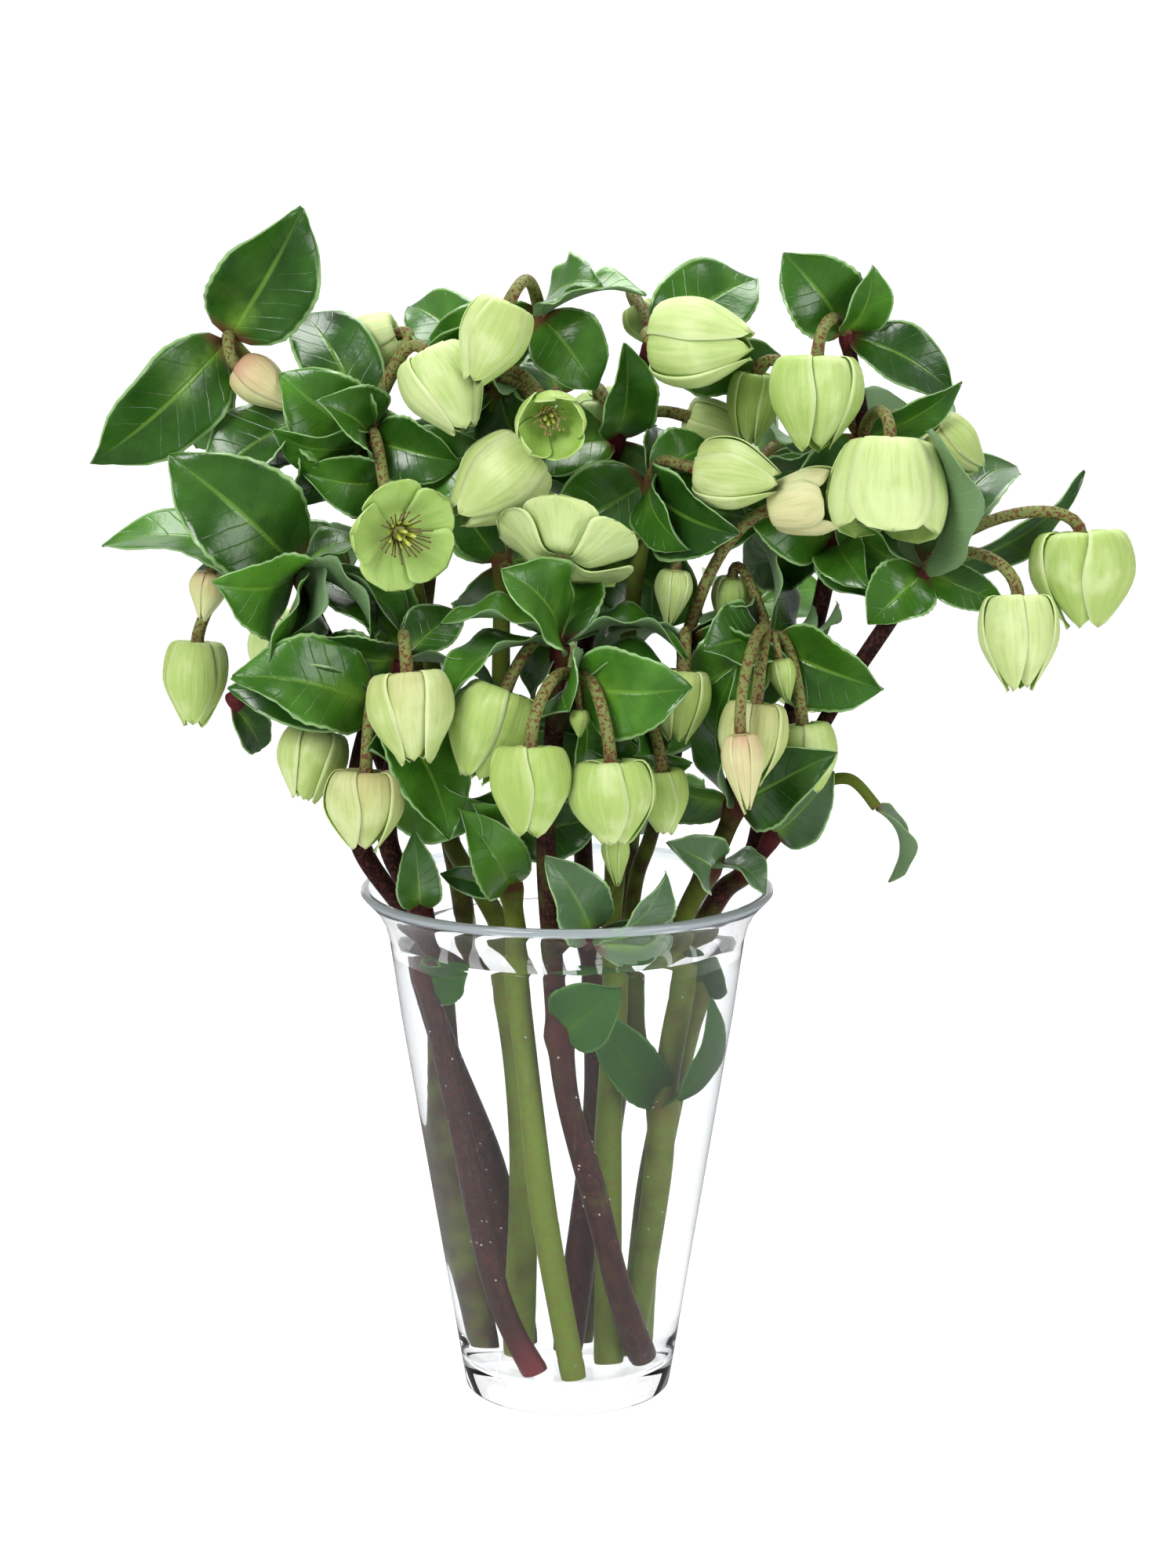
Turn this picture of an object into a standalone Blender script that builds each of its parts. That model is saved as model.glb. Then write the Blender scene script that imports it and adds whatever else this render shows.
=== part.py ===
# Hellebore stems in leaf and flower, standing in a flared glass vase of water.
# Tables are in millimetres, the finished meshes in metres.
import bpy
import bmesh
import math
import random
from mathutils import Quaternion, Vector
from mathutils.bvhtree import BVHTree

for item in list(bpy.data.objects):
    bpy.data.objects.remove(item, do_unlink=True)

MILLIMETRE = 0.001
WELD_DISTANCE = 0.000004

# The places of stems, leaves and blooms are read from one standpoint in front of the vase:
# across, height, and depth behind the plane through the vase's axis.
EYE = Vector((8.0, -1300.0, 484.5))
EYE_DISTANCE = 1300.0

# Vase
VASE_SIDES = 40
VASE_OUTSIDE = [(36.0, 0.0), (39.8, 2.0), (63.8, 150.0), (68.0, 180.0), (72.0, 190.5), (78.0, 197.2)]
VASE_LIP = [(78.5, 198.8), (76.4, 200.2)]
VASE_INSIDE = [(70.4, 194.6), (65.6, 183.6), (60.9, 150.0), (38.9, 16.0), (34.0, 11.6)]
FLOOR_HEIGHT = 11.0
WATER_LEVEL = 180.0
WATER_RADIUS_AT_LEVEL = 64.6
CLEARANCE = 0.3

# Stems
STEM_SIDES = 6
BRANCH_SIDES = 5
STALK_SIDES = 4
FOOT_RADIUS = 4.8
FOOT_HEIGHT = 12.2
NECK_RADIUS = 3.7
NODE_RADIUS = 2.4
TIP_RADIUS = 1.9
STALK_RADIUS = 1.8
HOLE_CLEARANCE = 0.4

# Leaves and sepals
LEAF_THICKNESS = 1.2
LEAF_STATIONS = (0.18, 0.46, 0.77)
HIDDEN_LEAF_STATIONS = (0.26, 0.66)
LEAF_GROWTH = 1.2
LEAF_ROOT_DEPTH = 1.2
LEAF_LEAST_HALF_WIDTH = 1.5
SEPAL_THICKNESS = 1.0
SEPALS = 5
STAMENS = 9
SEPAL_ORDER = (0, 3, 1, 4, 2)
SPIN_PER_BLOOM = 2.4
RECEPTACLE_HALF_ANGLE = 24
OVER_LIFT = 0.03
UNDER_TUCK = 0.12

# Depth steps tried, in order, when something stands in the way
DEPTH_STEPS = (0, -8, 8, -16, 16, -24, 24, -32, 32, -42, 42)
LEAF_TURNS = (0, 25, -25, 50, -50, 80, -80)
COST_PER_STEP = 0.25
COST_PER_TURN = 0.05

NODE_PLACES = {
    "left_fork": (-66.7, 239, -18),
    "low_left_node": (-72.7, 269, -30),
    "hanging_stalk_end": (-127, 270, -15),
    "mid_left_node": (-61.8, 287, -25),
    "left_node": (-100.9, 320.4, -15),
    "left_water_node": (-49.4, 165, -15),
    "left_neck_node": (-56.3, 190, -15),
    "bend_node": (-65.6, 355, 4),
    "cup_node": (-74.2, 369.5, 0),
    "dark_leaf_node": (-92.8, 379, 5),
    "tip_left_node": (-125.8, 407, 8),
    "neck_node": (-21.5, 198, -16),
    "green_low_node": (-23.5, 221, -12),
    "open_node": (-24.6, 324, 0),
    "upper_node": (-25.2, 390, 6),
    "top_node": (-9.7, 416, 5),
    "brown_water_node": (-2.7, 142.7, -30),
    "rim_leaf_node": (9.3, 180, -50),
    "centre_node": (-2.6, 292.4, -38),
    "front_node": (3.3, 278, -50),
    "green_node": (18.2, 239, -2),
    "shade_node": (19.7, 267.5, -10),
    "right_mid_node": (31.3, 354.3, 0),
    "inner_node": (18.6, 369.5, 20),
    "top_mid_node": (31.7, 405.9, 10),
    "water_fork": (31.3, 115, 5),
    "tall_stalk_node": (45.1, 293.6, -12),
    "right_neck_node": (54.1, 206, -8),
    "right_low_node": (64.2, 231, -8),
    "red_node": (76.8, 293, -15),
    "right_water_node": (42, 160, 10),
    "right_fork": (69.7, 207.5, 4),
    "arch_foot": (78.3, 219, -4),
    "arch_node": (118, 230, -26),
    "right_stem_node": (100.5, 331.5, 6),
    "right_bloom_node": (110.3, 369.5, 3),
    "top_right_node": (103.8, 408.8, 5),
    "far_right_node": (134.5, 320.4, -20),
    "back_left_low": (-58, 268, 52),
    "back_left_node": (-82, 318, 66),
    "back_left_high": (-46, 362, 62),
    "mid_stalk_node": (12.2, 328.6, 26),
    "back_fork": (28, 240, 54),
    "back_mid_node": (6, 318, 70),
    "back_high_node": (-4, 385, 56),
    "back_right_node": (66, 306, 76),
    "back_right_high": (74, 362, 58),
}

# Each stem: its main line from the foot up, then its side branches.
STEMS = {
    "dark_left_stem": [
        [(-14, 14.5, 24), (-21.5, 84, 20), (-38, 135, 10), (-53.1, 179.7, 0), (-63.8, 192, -5),
         (-78.6, 215, -10), (-80, 242, -22), "low_left_node"],
        ["low_left_node", (-98, 276, -24), (-116, 277, -18), "hanging_stalk_end"],
    ],
    "red_end_stem": [
        [(-11.9, 3.0, -25), (-25.9, 39.2, -23), (-38, 105, -19), "left_water_node", "left_neck_node",
         (-67.9, 215, -18), "left_fork", (-64, 264, -20), "mid_left_node"],
        ["left_fork", (-84, 281, -4), (-94, 302, -8), "left_node"],
    ],
    "green_stem": [
        [(2.3, 3.0, -29), (-8.4, 70, -27), (-13.7, 125.8, -23), (-18.9, 176, -19), "neck_node",
         "green_low_node", (-24.9, 269, -5), "open_node", (-27, 358, 5), "upper_node", "top_node"],
    ],
    "thin_green_stem": [
        [(-16, 12.0, 6), (-14.7, 103.7, 8), (-23.1, 176, 12), (-45.9, 221, 10), (-48.6, 269, 8),
         (-57, 315, 7), "bend_node", "cup_node", "dark_leaf_node", (-110, 392, 8), "tip_left_node"],
    ],
    "brown_stem": [
        [(26.8, 10.0, -9), (18.6, 39, -20), (9, 81, -26), (0.5, 115, -29), "brown_water_node",
         (-5.7, 176, -31), (-8, 221, -33), (-5, 257, -36), "centre_node"],
        [(-5.7, 176, -31), (2, 184, -42), "rim_leaf_node"],
        [(-5, 257, -36), "front_node"],
    ],
    "green_between_stem": [
        [(14.2, 9.0, -8), (13.6, 52, -2), (13.3, 99.6, 2), (15.3, 146, 2), (16.8, 181, 0), (18.3, 206, -1),
         "green_node", "shade_node", (25, 310, -6), "right_mid_node"],
    ],
    "dark_behind_stem": [
        [(0, 13.0, 14), (8.1, 99, 12), (9.5, 146, 16), (6.3, 209, 20), (4.8, 269, 24),
         "mid_stalk_node", "inner_node", "top_mid_node"],
    ],
    "right_green_stem": [
        [(20, 13.0, 6), (28.9, 81, 4), "water_fork", (36.1, 148, 0), (43.8, 184, -4), "right_neck_node",
         "right_low_node", (70.2, 260, -10), "red_node"],
        ["water_fork", (22, 148, 12), (25.8, 198, 16), (31.7, 218, 14), (40.7, 251, 4),
         "tall_stalk_node"],
    ],
    "right_leaning_stem": [
        [(21, 14.5, 18), (27, 90, 18), "right_water_node", (58, 195, 10), "right_fork", (78.2, 241.7, 4),
         (93.6, 299, 6), "right_stem_node", "right_bloom_node", "top_right_node"],
        ["right_fork", "arch_foot", (97, 262, -18), (122, 302.3, -20), "far_right_node"],
        ["arch_foot", (92, 236, -16), (107, 241, -23), "arch_node"],
    ],
    "back_left_stem": [
        [(-26, 15.0, 12), (-34, 90, 26), (-38, 165, 34), (-42, 205, 40), "back_left_low",
         "back_left_node"],
        ["back_left_low", (-52, 318, 62), "back_left_high"],
    ],
    "back_right_stem": [
        [(3, 15.5, 27), (11, 100, 35), (22, 198, 46), "back_fork", (46, 276, 66), "back_right_node",
         "back_right_high"],
        ["back_fork", (14, 280, 64), "back_mid_node", "back_high_node"],
    ],
}

# Blooms: node that the flower stalk leaves from, place of the bloom's root, the way its mouth
# points (across, up, away), kind, radius, length.
BLOOMS = {
    "bloom_01": ("front_node", (16.7, 246.2, -75), (0.05, -1, -0.1), "bell", 15, 27),
    "bloom_02": ("front_node", (-13.9, 251.9, -80), (0.0, -1, -0.15), "bell", 14, 28),
    "bloom_03": ("centre_node", (-23.6, 273.8, -70), (-0.35, -0.9, -0.15), "bell", 15, 31),
    "bloom_04": ("mid_left_node", (-60.2, 280.4, -60), (0.1, -1, -0.15), "bell", 15, 29),
    "bloom_05": ("low_left_node", (-76.5, 242.6, -52), (-0.05, -1, -0.1), "bell", 14, 26),
    "bloom_06": ("low_left_node", (-94.7, 258.5, -38), (-0.2, -0.95, -0.2), "bell", 12.5, 23),
    "bloom_07": ("cup_node", (-63.0, 335.0, -36), (0.4, -0.12, -0.9), "open", 20, 6),
    "bloom_08": ("open_node", (-1.0, 325.0, -42), (0.25, 0.74, 0.62), "open", 26, 9),
    "bloom_09": ("upper_node", (-15.0, 363.0, -28), (-0.72, -0.6, -0.3), "bell", 15.5, 32),
    "bloom_10": ("upper_node", (-6.8, 379.0, -16), (0.1, -0.3, -0.95), "cup", 12.5, 12),
    "bloom_11": ("right_bloom_node", (120.9, 367.7, -38), (-0.05, -1, -0.2), "half", 21.5, 32),
    "bloom_12": ("far_right_node", (193.0, 333.6, -25), (0.05, -1, -0.1), "bell", 18.5, 31),
    "bloom_13": ("far_right_node", (170.0, 309.8, -35), (0.02, -1, -0.15), "bell", 14, 31),
    "bloom_14": ("top_right_node", (93.2, 399.0, -25), (-0.02, -1, -0.1), "bell", 16.5, 30),
    "bloom_15": ("top_mid_node", (35.0, 406.5, -12), (0.94, -0.02, -0.33), "bell", 16, 33),
    "bloom_16": ("right_mid_node", (50.9, 358.7, -26), (0.95, -0.12, -0.3), "bell", 12.5, 27),
    "bloom_17": ("tall_stalk_node", (79.0, 344.4, -32), (0.88, 0.2, -0.4), "half", 12, 23),
    "bloom_18": ("tall_stalk_node", (44.0, 281.6, -38), (-0.1, -1, -0.1), "bell", 10.5, 24),
    "bloom_19": ("red_node", (71.7, 269.0, -50), (-0.1, -1, -0.1), "bell", 12, 27),
    "bloom_20": ("red_node", (89.4, 261.0, -48), (0.1, -1, -0.1), "bell", 11.5, 23),
    "bloom_21": ("cup_node", (-51.2, 400.5, -20), (0.45, -0.85, -0.2), "bell", 14.5, 28),
    "bloom_22": ("top_node", (-22.0, 419.0, -8), (-0.42, -0.9, -0.12), "bell", 12, 28),
    "bloom_23": ("tip_left_node", (-122.0, 397.0, -4), (0.8, -0.55, -0.2), "bud", 9, 26),
    "bloom_24": ("left_node", (-139.6, 292.4, -12), (-0.05, -1, -0.1), "bell", 11.5, 28),
    "bloom_25": ("left_node", (-133.7, 320.0, -15), (-0.2, -1, 0.0), "bud", 7, 17),
    "bloom_26": ("shade_node", (36.1, 243.5, -50), (0.05, -1, 0.0), "bell", 9, 21),
    "bloom_27": ("green_node", (18.2, 219.5, -58), (0.05, -1, 0.0), "bud", 5, 18),
    "bloom_28": ("red_node", (65.8, 258.5, -66), (0.1, -1, 0.0), "bud", 7.5, 27),
    "bloom_29": ("cup_node", (-63.6, 408.7, 16), (-0.9, -0.35, 0.1), "bell", 10.5, 29),
    "bloom_30": ("top_mid_node", (25.9, 420.0, 4), (0.45, -0.85, -0.1), "bud", 8, 18),
    "bloom_31": ("top_mid_node", (52.9, 410.0, 26), (0.5, -0.8, 0.15), "bell", 12, 24),
    "bloom_32": ("right_bloom_node", (70.6, 393.5, 6), (-0.1, -1, 0.0), "bell", 9.5, 24),
    "bloom_33": ("inner_node", (45.9, 378.0, 12), (0.9, -0.35, 0.1), "bell", 9.5, 26),
    "bloom_34": ("right_mid_node", (37.1, 355.0, 20), (0.1, -1, 0.1), "bell", 9, 18),
    "bloom_35": ("right_bloom_node", (138.0, 374.0, 2), (0.7, -0.65, 0.1), "bell", 9.5, 21),
    "bloom_36": ("dark_leaf_node", (-116.6, 369.0, 12), (-0.3, -0.9, 0.1), "bud", 7, 14),
    "bloom_37": ("right_mid_node", (40.8, 321.0, -20), (-0.1, -1, 0.0), "bud", 7, 20),
    "bloom_38": ("red_node", (62.3, 318.4, -5), (-0.1, -1, 0.1), "bud", 7, 22),
    "bloom_39": ("inner_node", (12.2, 385.5, 30), (0.2, -0.9, 0.25), "bell", 11, 22),
    "bloom_40": ("front_node", (4.8, 267.5, -64), (0.0, -1, -0.1), "bud", 3.4, 9),
    "bloom_41": ("red_node", (80.3, 287.0, -36), (0.2, -1, 0.0), "bud", 5, 15),
    "bloom_42": ("back_left_node", (-104, 300, 84), (-0.3, -0.9, 0.35), "bell", 14, 28),
    "bloom_43": ("back_left_high", (-58, 346, 92), (-0.15, -0.9, 0.45), "bell", 15, 29),
    "bloom_44": ("back_mid_node", (4, 296, 100), (0.1, -0.95, 0.35), "bell", 14, 28),
    "bloom_45": ("back_high_node", (-6, 378, 86), (-0.1, -0.85, 0.5), "half", 16, 28),
    "bloom_46": ("back_right_node", (84, 292, 102), (0.3, -0.9, 0.35), "bell", 15, 28),
    "bloom_47": ("back_right_high", (92, 356, 84), (0.35, -0.85, 0.4), "bell", 14, 27),
}

# Sections of a sepal from root to tip: radius and height as shares of the bloom's radius and
# length, and half the angle that the sepal spans.
BLOOM_KINDS = {
    "bell": [(0.86, 0.04, 37.5), (1.0, 0.60, 40), (0.36, 1.0, 0)],
    "half": [(0.74, 0.06, 37.5), (1.0, 0.58, 38), (0.90, 1.0, 0)],
    "cup": [(0.62, 0.10, 37.5), (0.98, 0.62, 36), (1.0, 1.15, 0)],
    "open": [(0.45, 0.15, 35.5), (0.86, 0.70, 34), (1.06, 1.0, 0)],
    "bud": [(0.78, 0.10, 38), (0.95, 0.50, 39), (0.12, 1.0, 0)],
}

OPEN_KINDS = ("open", "cup")

# Leaves: node, tip, width, turn about the leaf's length (degrees), arch, trough, twist (degrees).
LEAVES = [
    ("tip_left_node", (-97.1, 455, -5), 30, 10, 0.10, 0.30, 30),
    ("tip_left_node", (-177.7, 360.7, -10), 27, -15, 0.14, 0.25, -20),
    ("tip_left_node", (-138.7, 366, 12), 20, 20, 0.10, 0.20, 10),
    ("dark_leaf_node", (-121.9, 360.7, -8), 22, -20, -0.12, 0.30, 20),
    ("left_node", (-148.8, 364.2, -30), 32, 10, 0.16, 0.30, -25),
    ("left_node", (-174.1, 331.5, -15), 32, 0, 0.12, 0.20, 30),
    ("bend_node", (-99.4, 357.8, -12), 18, 30, 0.22, 0.55, 40),
    ("cup_node", (-99.6, 416, 10), 24, -10, 0.30, 0.30, 20),
    ("cup_node", (-93.0, 384, -25), 20, 30, 0.20, 0.60, 10),
    ("cup_node", (-39.0, 360.7, -28), 19, 0, 0.12, 0.35, 45),
    ("top_node", (-51.0, 407, 12), 18, -10, 0.15, 0.25, 10),
    ("top_node", (11.0, 388, -15), 22, 15, 0.18, 0.25, -20),
    ("top_node", (10.1, 406, 6), 14, 0, 0.20, 0.20, 0),
    ("upper_node", (-42.0, 367, -14), 10, 20, 0.10, 0.50, 20),
    ("inner_node", (22.4, 405.0, 0), 18, -25, 0.10, 0.40, 20),
    ("right_mid_node", (33.0, 374.0, -14), 12, 30, 0.10, 0.45, 0),
    ("right_mid_node", (46.0, 328.6, -24), 18, 20, 0.15, 0.30, 30),
    ("right_mid_node", (60.8, 331.5, -10), 18, -15, 0.15, 0.35, -20),
    ("open_node", (-35.0, 345, -18), 15, 10, 0.12, 0.30, 0),
    ("open_node", (-42.0, 350.5, -5), 14, -20, 0.10, 0.30, 10),
    ("left_node", (-142.5, 315.5, 6), 14, 0, 0.10, 0.20, 0),
    ("left_node", (-117.6, 281, -32), 26, 10, 0.12, 0.30, 20),
    ("left_node", (-72.6, 295.4, -38), 27, -10, 0.15, 0.25, -20),
    ("left_node", (-73.2, 331.5, -8), 20, 10, 0.14, 0.20, 10),
    ("mid_left_node", (-92.7, 314.6, -12), 29, 5, 0.14, 0.30, -15),
    ("low_left_node", (-125.4, 281.6, -38), 28, 20, 0.14, 0.25, 20),
    ("low_left_node", (-101.7, 288.5, -16), 18, -20, 0.12, 0.30, 0),
    ("hanging_stalk_end", (-137.5, 233, -18), 13, 25, 0.10, 0.45, 50),
    ("hanging_stalk_end", (-116.8, 252.5, -16), 11, -20, 0.12, 0.40, 10),
    ("low_left_node", (-45.3, 217, -56), 27, 10, 0.16, 0.25, 25),
    ("mid_left_node", (-39.6, 305, -18), 16, 0, 0.12, 0.35, 0),
    ("centre_node", (-47.8, 300, -46), 27, -5, 0.15, 0.25, 15),
    ("centre_node", (-10.0, 263, -58), 16, 20, 0.14, 0.35, 10),
    ("centre_node", (45.4, 290, -66), 30, 0, 0.20, 0.22, -15),
    ("front_node", (-1.5, 236, -66), 22, 15, 0.14, 0.35, 20),
    ("shade_node", (45.9, 245.6, -44), 24, 10, 0.20, 0.30, 15),
    ("right_low_node", (61.2, 282, -42), 20, -15, 0.10, 0.45, 20),
    ("red_node", (46.3, 275, -30), 22, 10, 0.16, 0.30, -20),
    ("red_node", (69.0, 337.4, -28), 27, 0, 0.12, 0.30, 20),
    ("red_node", (93.4, 306.5, -10), 13, 20, 0.10, 0.40, 0),
    ("right_stem_node", (112.6, 311, -8), 20, -10, 0.14, 0.30, 15),
    ("top_right_node", (80.0, 439, -4), 23, 15, 0.16, 0.30, -25),
    ("top_right_node", (113.5, 434, -2), 16, -10, 0.14, 0.35, 0),
    ("top_right_node", (143.3, 387, 8), 18, 0, 0.18, 0.25, 20),
    ("right_bloom_node", (143.4, 385.5, 20), 20, 20, 0.12, 0.25, -10),
    ("right_bloom_node", (147.4, 390.5, -12), 12, 0, 0.10, 0.35, 20),
    ("right_bloom_node", (72.8, 378, 24), 20, 0, 0.14, 0.25, 0),
    ("right_stem_node", (114.0, 313.4, -22), 16, 30, 0.18, 0.40, 10),
    ("far_right_node", (128.4, 347.6, -6), 16, -20, 0.10, 0.40, 10),
    ("far_right_node", (135.8, 374, -26), 28, 15, 0.12, 0.30, 60),
    ("far_right_node", (169.1, 362, -10), 21, -10, 0.14, 0.30, 25),
    ("far_right_node", (194.2, 357.8, -6), 17, 10, 0.12, 0.25, 0),
    ("far_right_node", (113.6, 300.5, -36), 19, 25, 0.28, 0.50, 30),
    ("far_right_node", (165.5, 307.4, -6), 12, 0, 0.12, 0.40, 0),
    ("red_node", (95.8, 270.5, -20), 11, 15, 0.12, 0.35, 0),
    ("arch_foot", (101.4, 243.5, -26), 17, 10, 0.20, 0.35, 20),
    ("arch_node", (104.7, 194, -30), 13, 25, 0.16, 0.45, 30),
    ("arch_node", (114.5, 191.7, -40), 13, 0, 0.14, 0.45, -30),
    ("arch_node", (123.5, 201, -24), 13, -25, 0.16, 0.45, 40),
    ("rim_leaf_node", (-7.1, 210.6, -62), 18, 15, 0.14, 0.35, 15),
    ("rim_leaf_node", (37.8, 204.6, -64), 20, -10, 0.18, 0.30, -15),
    ("rim_leaf_node", (40.0, 186, -38), 17, 10, 0.16, 0.30, 10),
    ("right_neck_node", (37.7, 216.4, -42), 16, 10, 0.20, 0.40, 30),
    ("right_neck_node", (76.0, 196, -34), 16, 15, 0.26, 0.40, 20),
    ("green_low_node", (-36.2, 231, -46), 17, 0, 0.18, 0.45, 10),
    ("neck_node", (-40.0, 228.5, -50), 18, 10, 0.12, 0.35, 20),
    ("left_neck_node", (-57.9, 221, -44), 13, 0, 0.12, 0.35, 0),
    ("neck_node", (-48.5, 204, -34), 9, 0, 0.10, 0.35, 0),
    ("left_water_node", (-36.0, 166, -36), 14, 10, 0.12, 0.30, 10),
    ("brown_water_node", (19.0, 160, -42), 20, 0, 0.16, 0.25, 10),
    ("water_fork", (5.4, 155, -10), 15, 10, 0.10, 0.30, 10),
    ("water_fork", (52.0, 156, -16), 16, -10, 0.12, 0.25, 0),
    ("right_water_node", (49.0, 172, -6), 14, 10, 0.10, 0.30, 0),
]

# Nodes that carry further leaves all round, and how many each.
FILLING_LEAVES = {
    "left_node": 3, "low_left_node": 2, "mid_left_node": 3, "bend_node": 4, "cup_node": 3,
    "dark_leaf_node": 3, "open_node": 4, "upper_node": 4, "top_node": 3, "centre_node": 3,
    "front_node": 3, "shade_node": 4, "right_mid_node": 4, "mid_stalk_node": 4, "inner_node": 3,
    "top_mid_node": 3, "tall_stalk_node": 4, "red_node": 3, "right_low_node": 2,
    "right_stem_node": 3, "right_bloom_node": 2, "green_low_node": 2, "back_mid_node": 1,
    "left_fork": 2, "green_node": 2, "far_right_node": 1,
}
FILLING_LEAF_SEED = 26
FILLING_LEAF_LENGTH = (36.0, 52.0)
FILLING_LEAF_WIDTH = (23.0, 33.0)

# Nodes that carry further leaves on the far side, and how many each.
FAR_SIDE_LEAVES = {
    "low_left_node": 1, "left_node": 1, "bend_node": 1, "upper_node": 1, "right_mid_node": 1,
    "tall_stalk_node": 1, "red_node": 1, "right_bloom_node": 1, "far_right_node": 1,
    "back_left_low": 2, "back_left_node": 3, "back_left_high": 3, "back_fork": 2,
    "back_mid_node": 3, "back_high_node": 3, "back_right_node": 3, "back_right_high": 3,
}
FAR_LEAF_SEED = 11
FAR_LEAF_LENGTH = (34.0, 56.0)
FAR_LEAF_WIDTH = (17.0, 29.0)


def seen(place):
    """Point that is seen at (across, height) in the axis plane and stands at the given depth."""
    across, height, depth = place
    front = Vector((across, 0.0, height))
    return EYE + (front - EYE) * ((EYE_DISTANCE + depth) / EYE_DISTANCE)


def deeper(place, step):
    return (place[0], place[1], place[2] + step)


def point_of(item):
    return seen(NODE_PLACES[item]) if isinstance(item, str) else seen(item)


def frame_along(direction, spin=0.0):
    """Rotation that turns +Z to the direction, after a spin about it."""
    turn = direction.normalized().to_track_quat("Z", "Y")
    return turn @ Quaternion((0.0, 0.0, 1.0), spin)


def tube(points, radii, sides):
    """Closed tube through the points, its rings carried along without twist."""
    count = len(points)
    tangents = []
    for index in range(count):
        before = points[max(index - 1, 0)]
        after = points[min(index + 1, count - 1)]
        tangents.append((after - before).normalized())
    side = tangents[0].orthogonal().normalized()
    verts = []
    for index in range(count):
        side = (side - tangents[index] * side.dot(tangents[index])).normalized()
        other = tangents[index].cross(side)
        for step in range(sides):
            angle = math.tau * step / sides
            offset = side * math.cos(angle) + other * math.sin(angle)
            verts.append(points[index] + offset * radii[index])
    faces = [list(range(sides))[::-1]]
    for ring in range(count - 1):
        for step in range(sides):
            low = ring * sides + step
            next_low = ring * sides + (step + 1) % sides
            faces.append([low, next_low, next_low + sides, low + sides])
    faces.append([(count - 1) * sides + step for step in range(sides)])
    return verts, faces


def smooth_line(points, per_span):
    """Catmull-Rom line through the points."""
    line = []
    last = len(points) - 1
    for index in range(last):
        before = points[max(index - 1, 0)]
        start = points[index]
        end = points[index + 1]
        after = points[min(index + 2, last)]
        for step in range(per_span):
            t = step / per_span
            line.append(0.5 * (2 * start + (end - before) * t
                               + (2 * before - 5 * start + 4 * end - after) * t * t
                               + (3 * start - before - 3 * end + after) * t * t * t))
    line.append(points[last])
    return line


def stem_radii(line, is_main):
    """Radii that fall from the foot to the neck of the vase and on to the last node."""
    radii = []
    for point in line:
        if point.z < 200.0:
            share = point.z / 200.0
            radius = FOOT_RADIUS + (NECK_RADIUS - FOOT_RADIUS) * share
        else:
            share = min((point.z - 200.0) / 200.0, 1.0)
            radius = NECK_RADIUS + (NODE_RADIUS - NECK_RADIUS) * share
        if not is_main:
            radius = min(radius, NODE_RADIUS + 0.4)
        radii.append(radius)
    radii[-1] = max(TIP_RADIUS, radii[-1] * 0.85)
    return radii


def stalk(start, root, axis, radius):
    """Flower stalk from its node, over an arch, to just short of the bloom's root."""
    end = root - axis * (CLEARANCE + 0.02)
    span = (end - start).length
    arch = 0.75 if axis.z < 0.3 else -0.35
    rise = (Vector((0.0, 0.0, 1.0)) * arch + (end - start).normalized() * 0.5).normalized()
    first = start + rise * span * 0.45
    last = end - axis * min(span * 0.45, 16.0)
    points = []
    for t in (0.0, 0.3, 0.6, 0.82, 1.0):
        points.append(start * (1 - t) ** 3 + first * 3 * t * (1 - t) ** 2
                      + last * 3 * t * t * (1 - t) + end * t ** 3)
    points[-2] = end - axis * min(5.0, span * 0.2)
    return tube(points, [radius * 1.15, radius * 1.05, radius, radius, radius], STALK_SIDES)


def blade_outline(t):
    return math.sin(math.pi * min(max(t, 0.0), 1.0) ** 0.82) ** 0.75


def blade_root(node, tip):
    """Start of a leaf: inside the stem, on the side that the leaf leaves from."""
    return node + (tip - node).normalized() * LEAF_ROOT_DEPTH


def blade(root, tip, width, turn, arch, trough, twist, thickness, stations):
    """Leaf blade, lens-shaped in section: left edge, upper face, right edge, lower face."""
    chord = tip - root
    length = chord.length
    along = chord / length
    view = (EYE - (root + tip) * 0.5).normalized()
    face = (view - along * view.dot(along)).normalized()
    face = Quaternion(along, math.radians(turn)) @ face
    verts = []
    for t in (0.0,) + stations:
        turned = Quaternion(along, math.radians(twist) * (t - 0.3)) @ face
        side = along.cross(turned)
        middle = root + chord * t + face * (arch * length * 4 * t * (1 - t))
        half = max(width * 0.5 * blade_outline(t), LEAF_LEAST_HALF_WIDTH)
        lift = turned * (half * trough)
        thick = thickness * (1.15 - 0.5 * t) * 0.5
        verts.append(middle - side * half + lift)
        verts.append(middle + turned * thick)
        verts.append(middle + side * half + lift)
        verts.append(middle - turned * thick)
    verts.append(tip)
    rings = len(stations) + 1
    faces = [[0, 1, 2], [0, 2, 3]]
    for ring in range(rings - 1):
        for step in range(4):
            a = ring * 4 + step
            b = ring * 4 + (step + 1) % 4
            if step % 2 == 0:
                faces.append([a, a + 4, b + 4])
                faces.append([a, b + 4, b])
            else:
                faces.append([a, a + 4, b])
                faces.append([b, a + 4, b + 4])
    for step in range(4):
        a = (rings - 1) * 4 + step
        b = (rings - 1) * 4 + (step + 1) % 4
        faces.append([a, len(verts) - 1, b])
    return verts, faces


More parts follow.
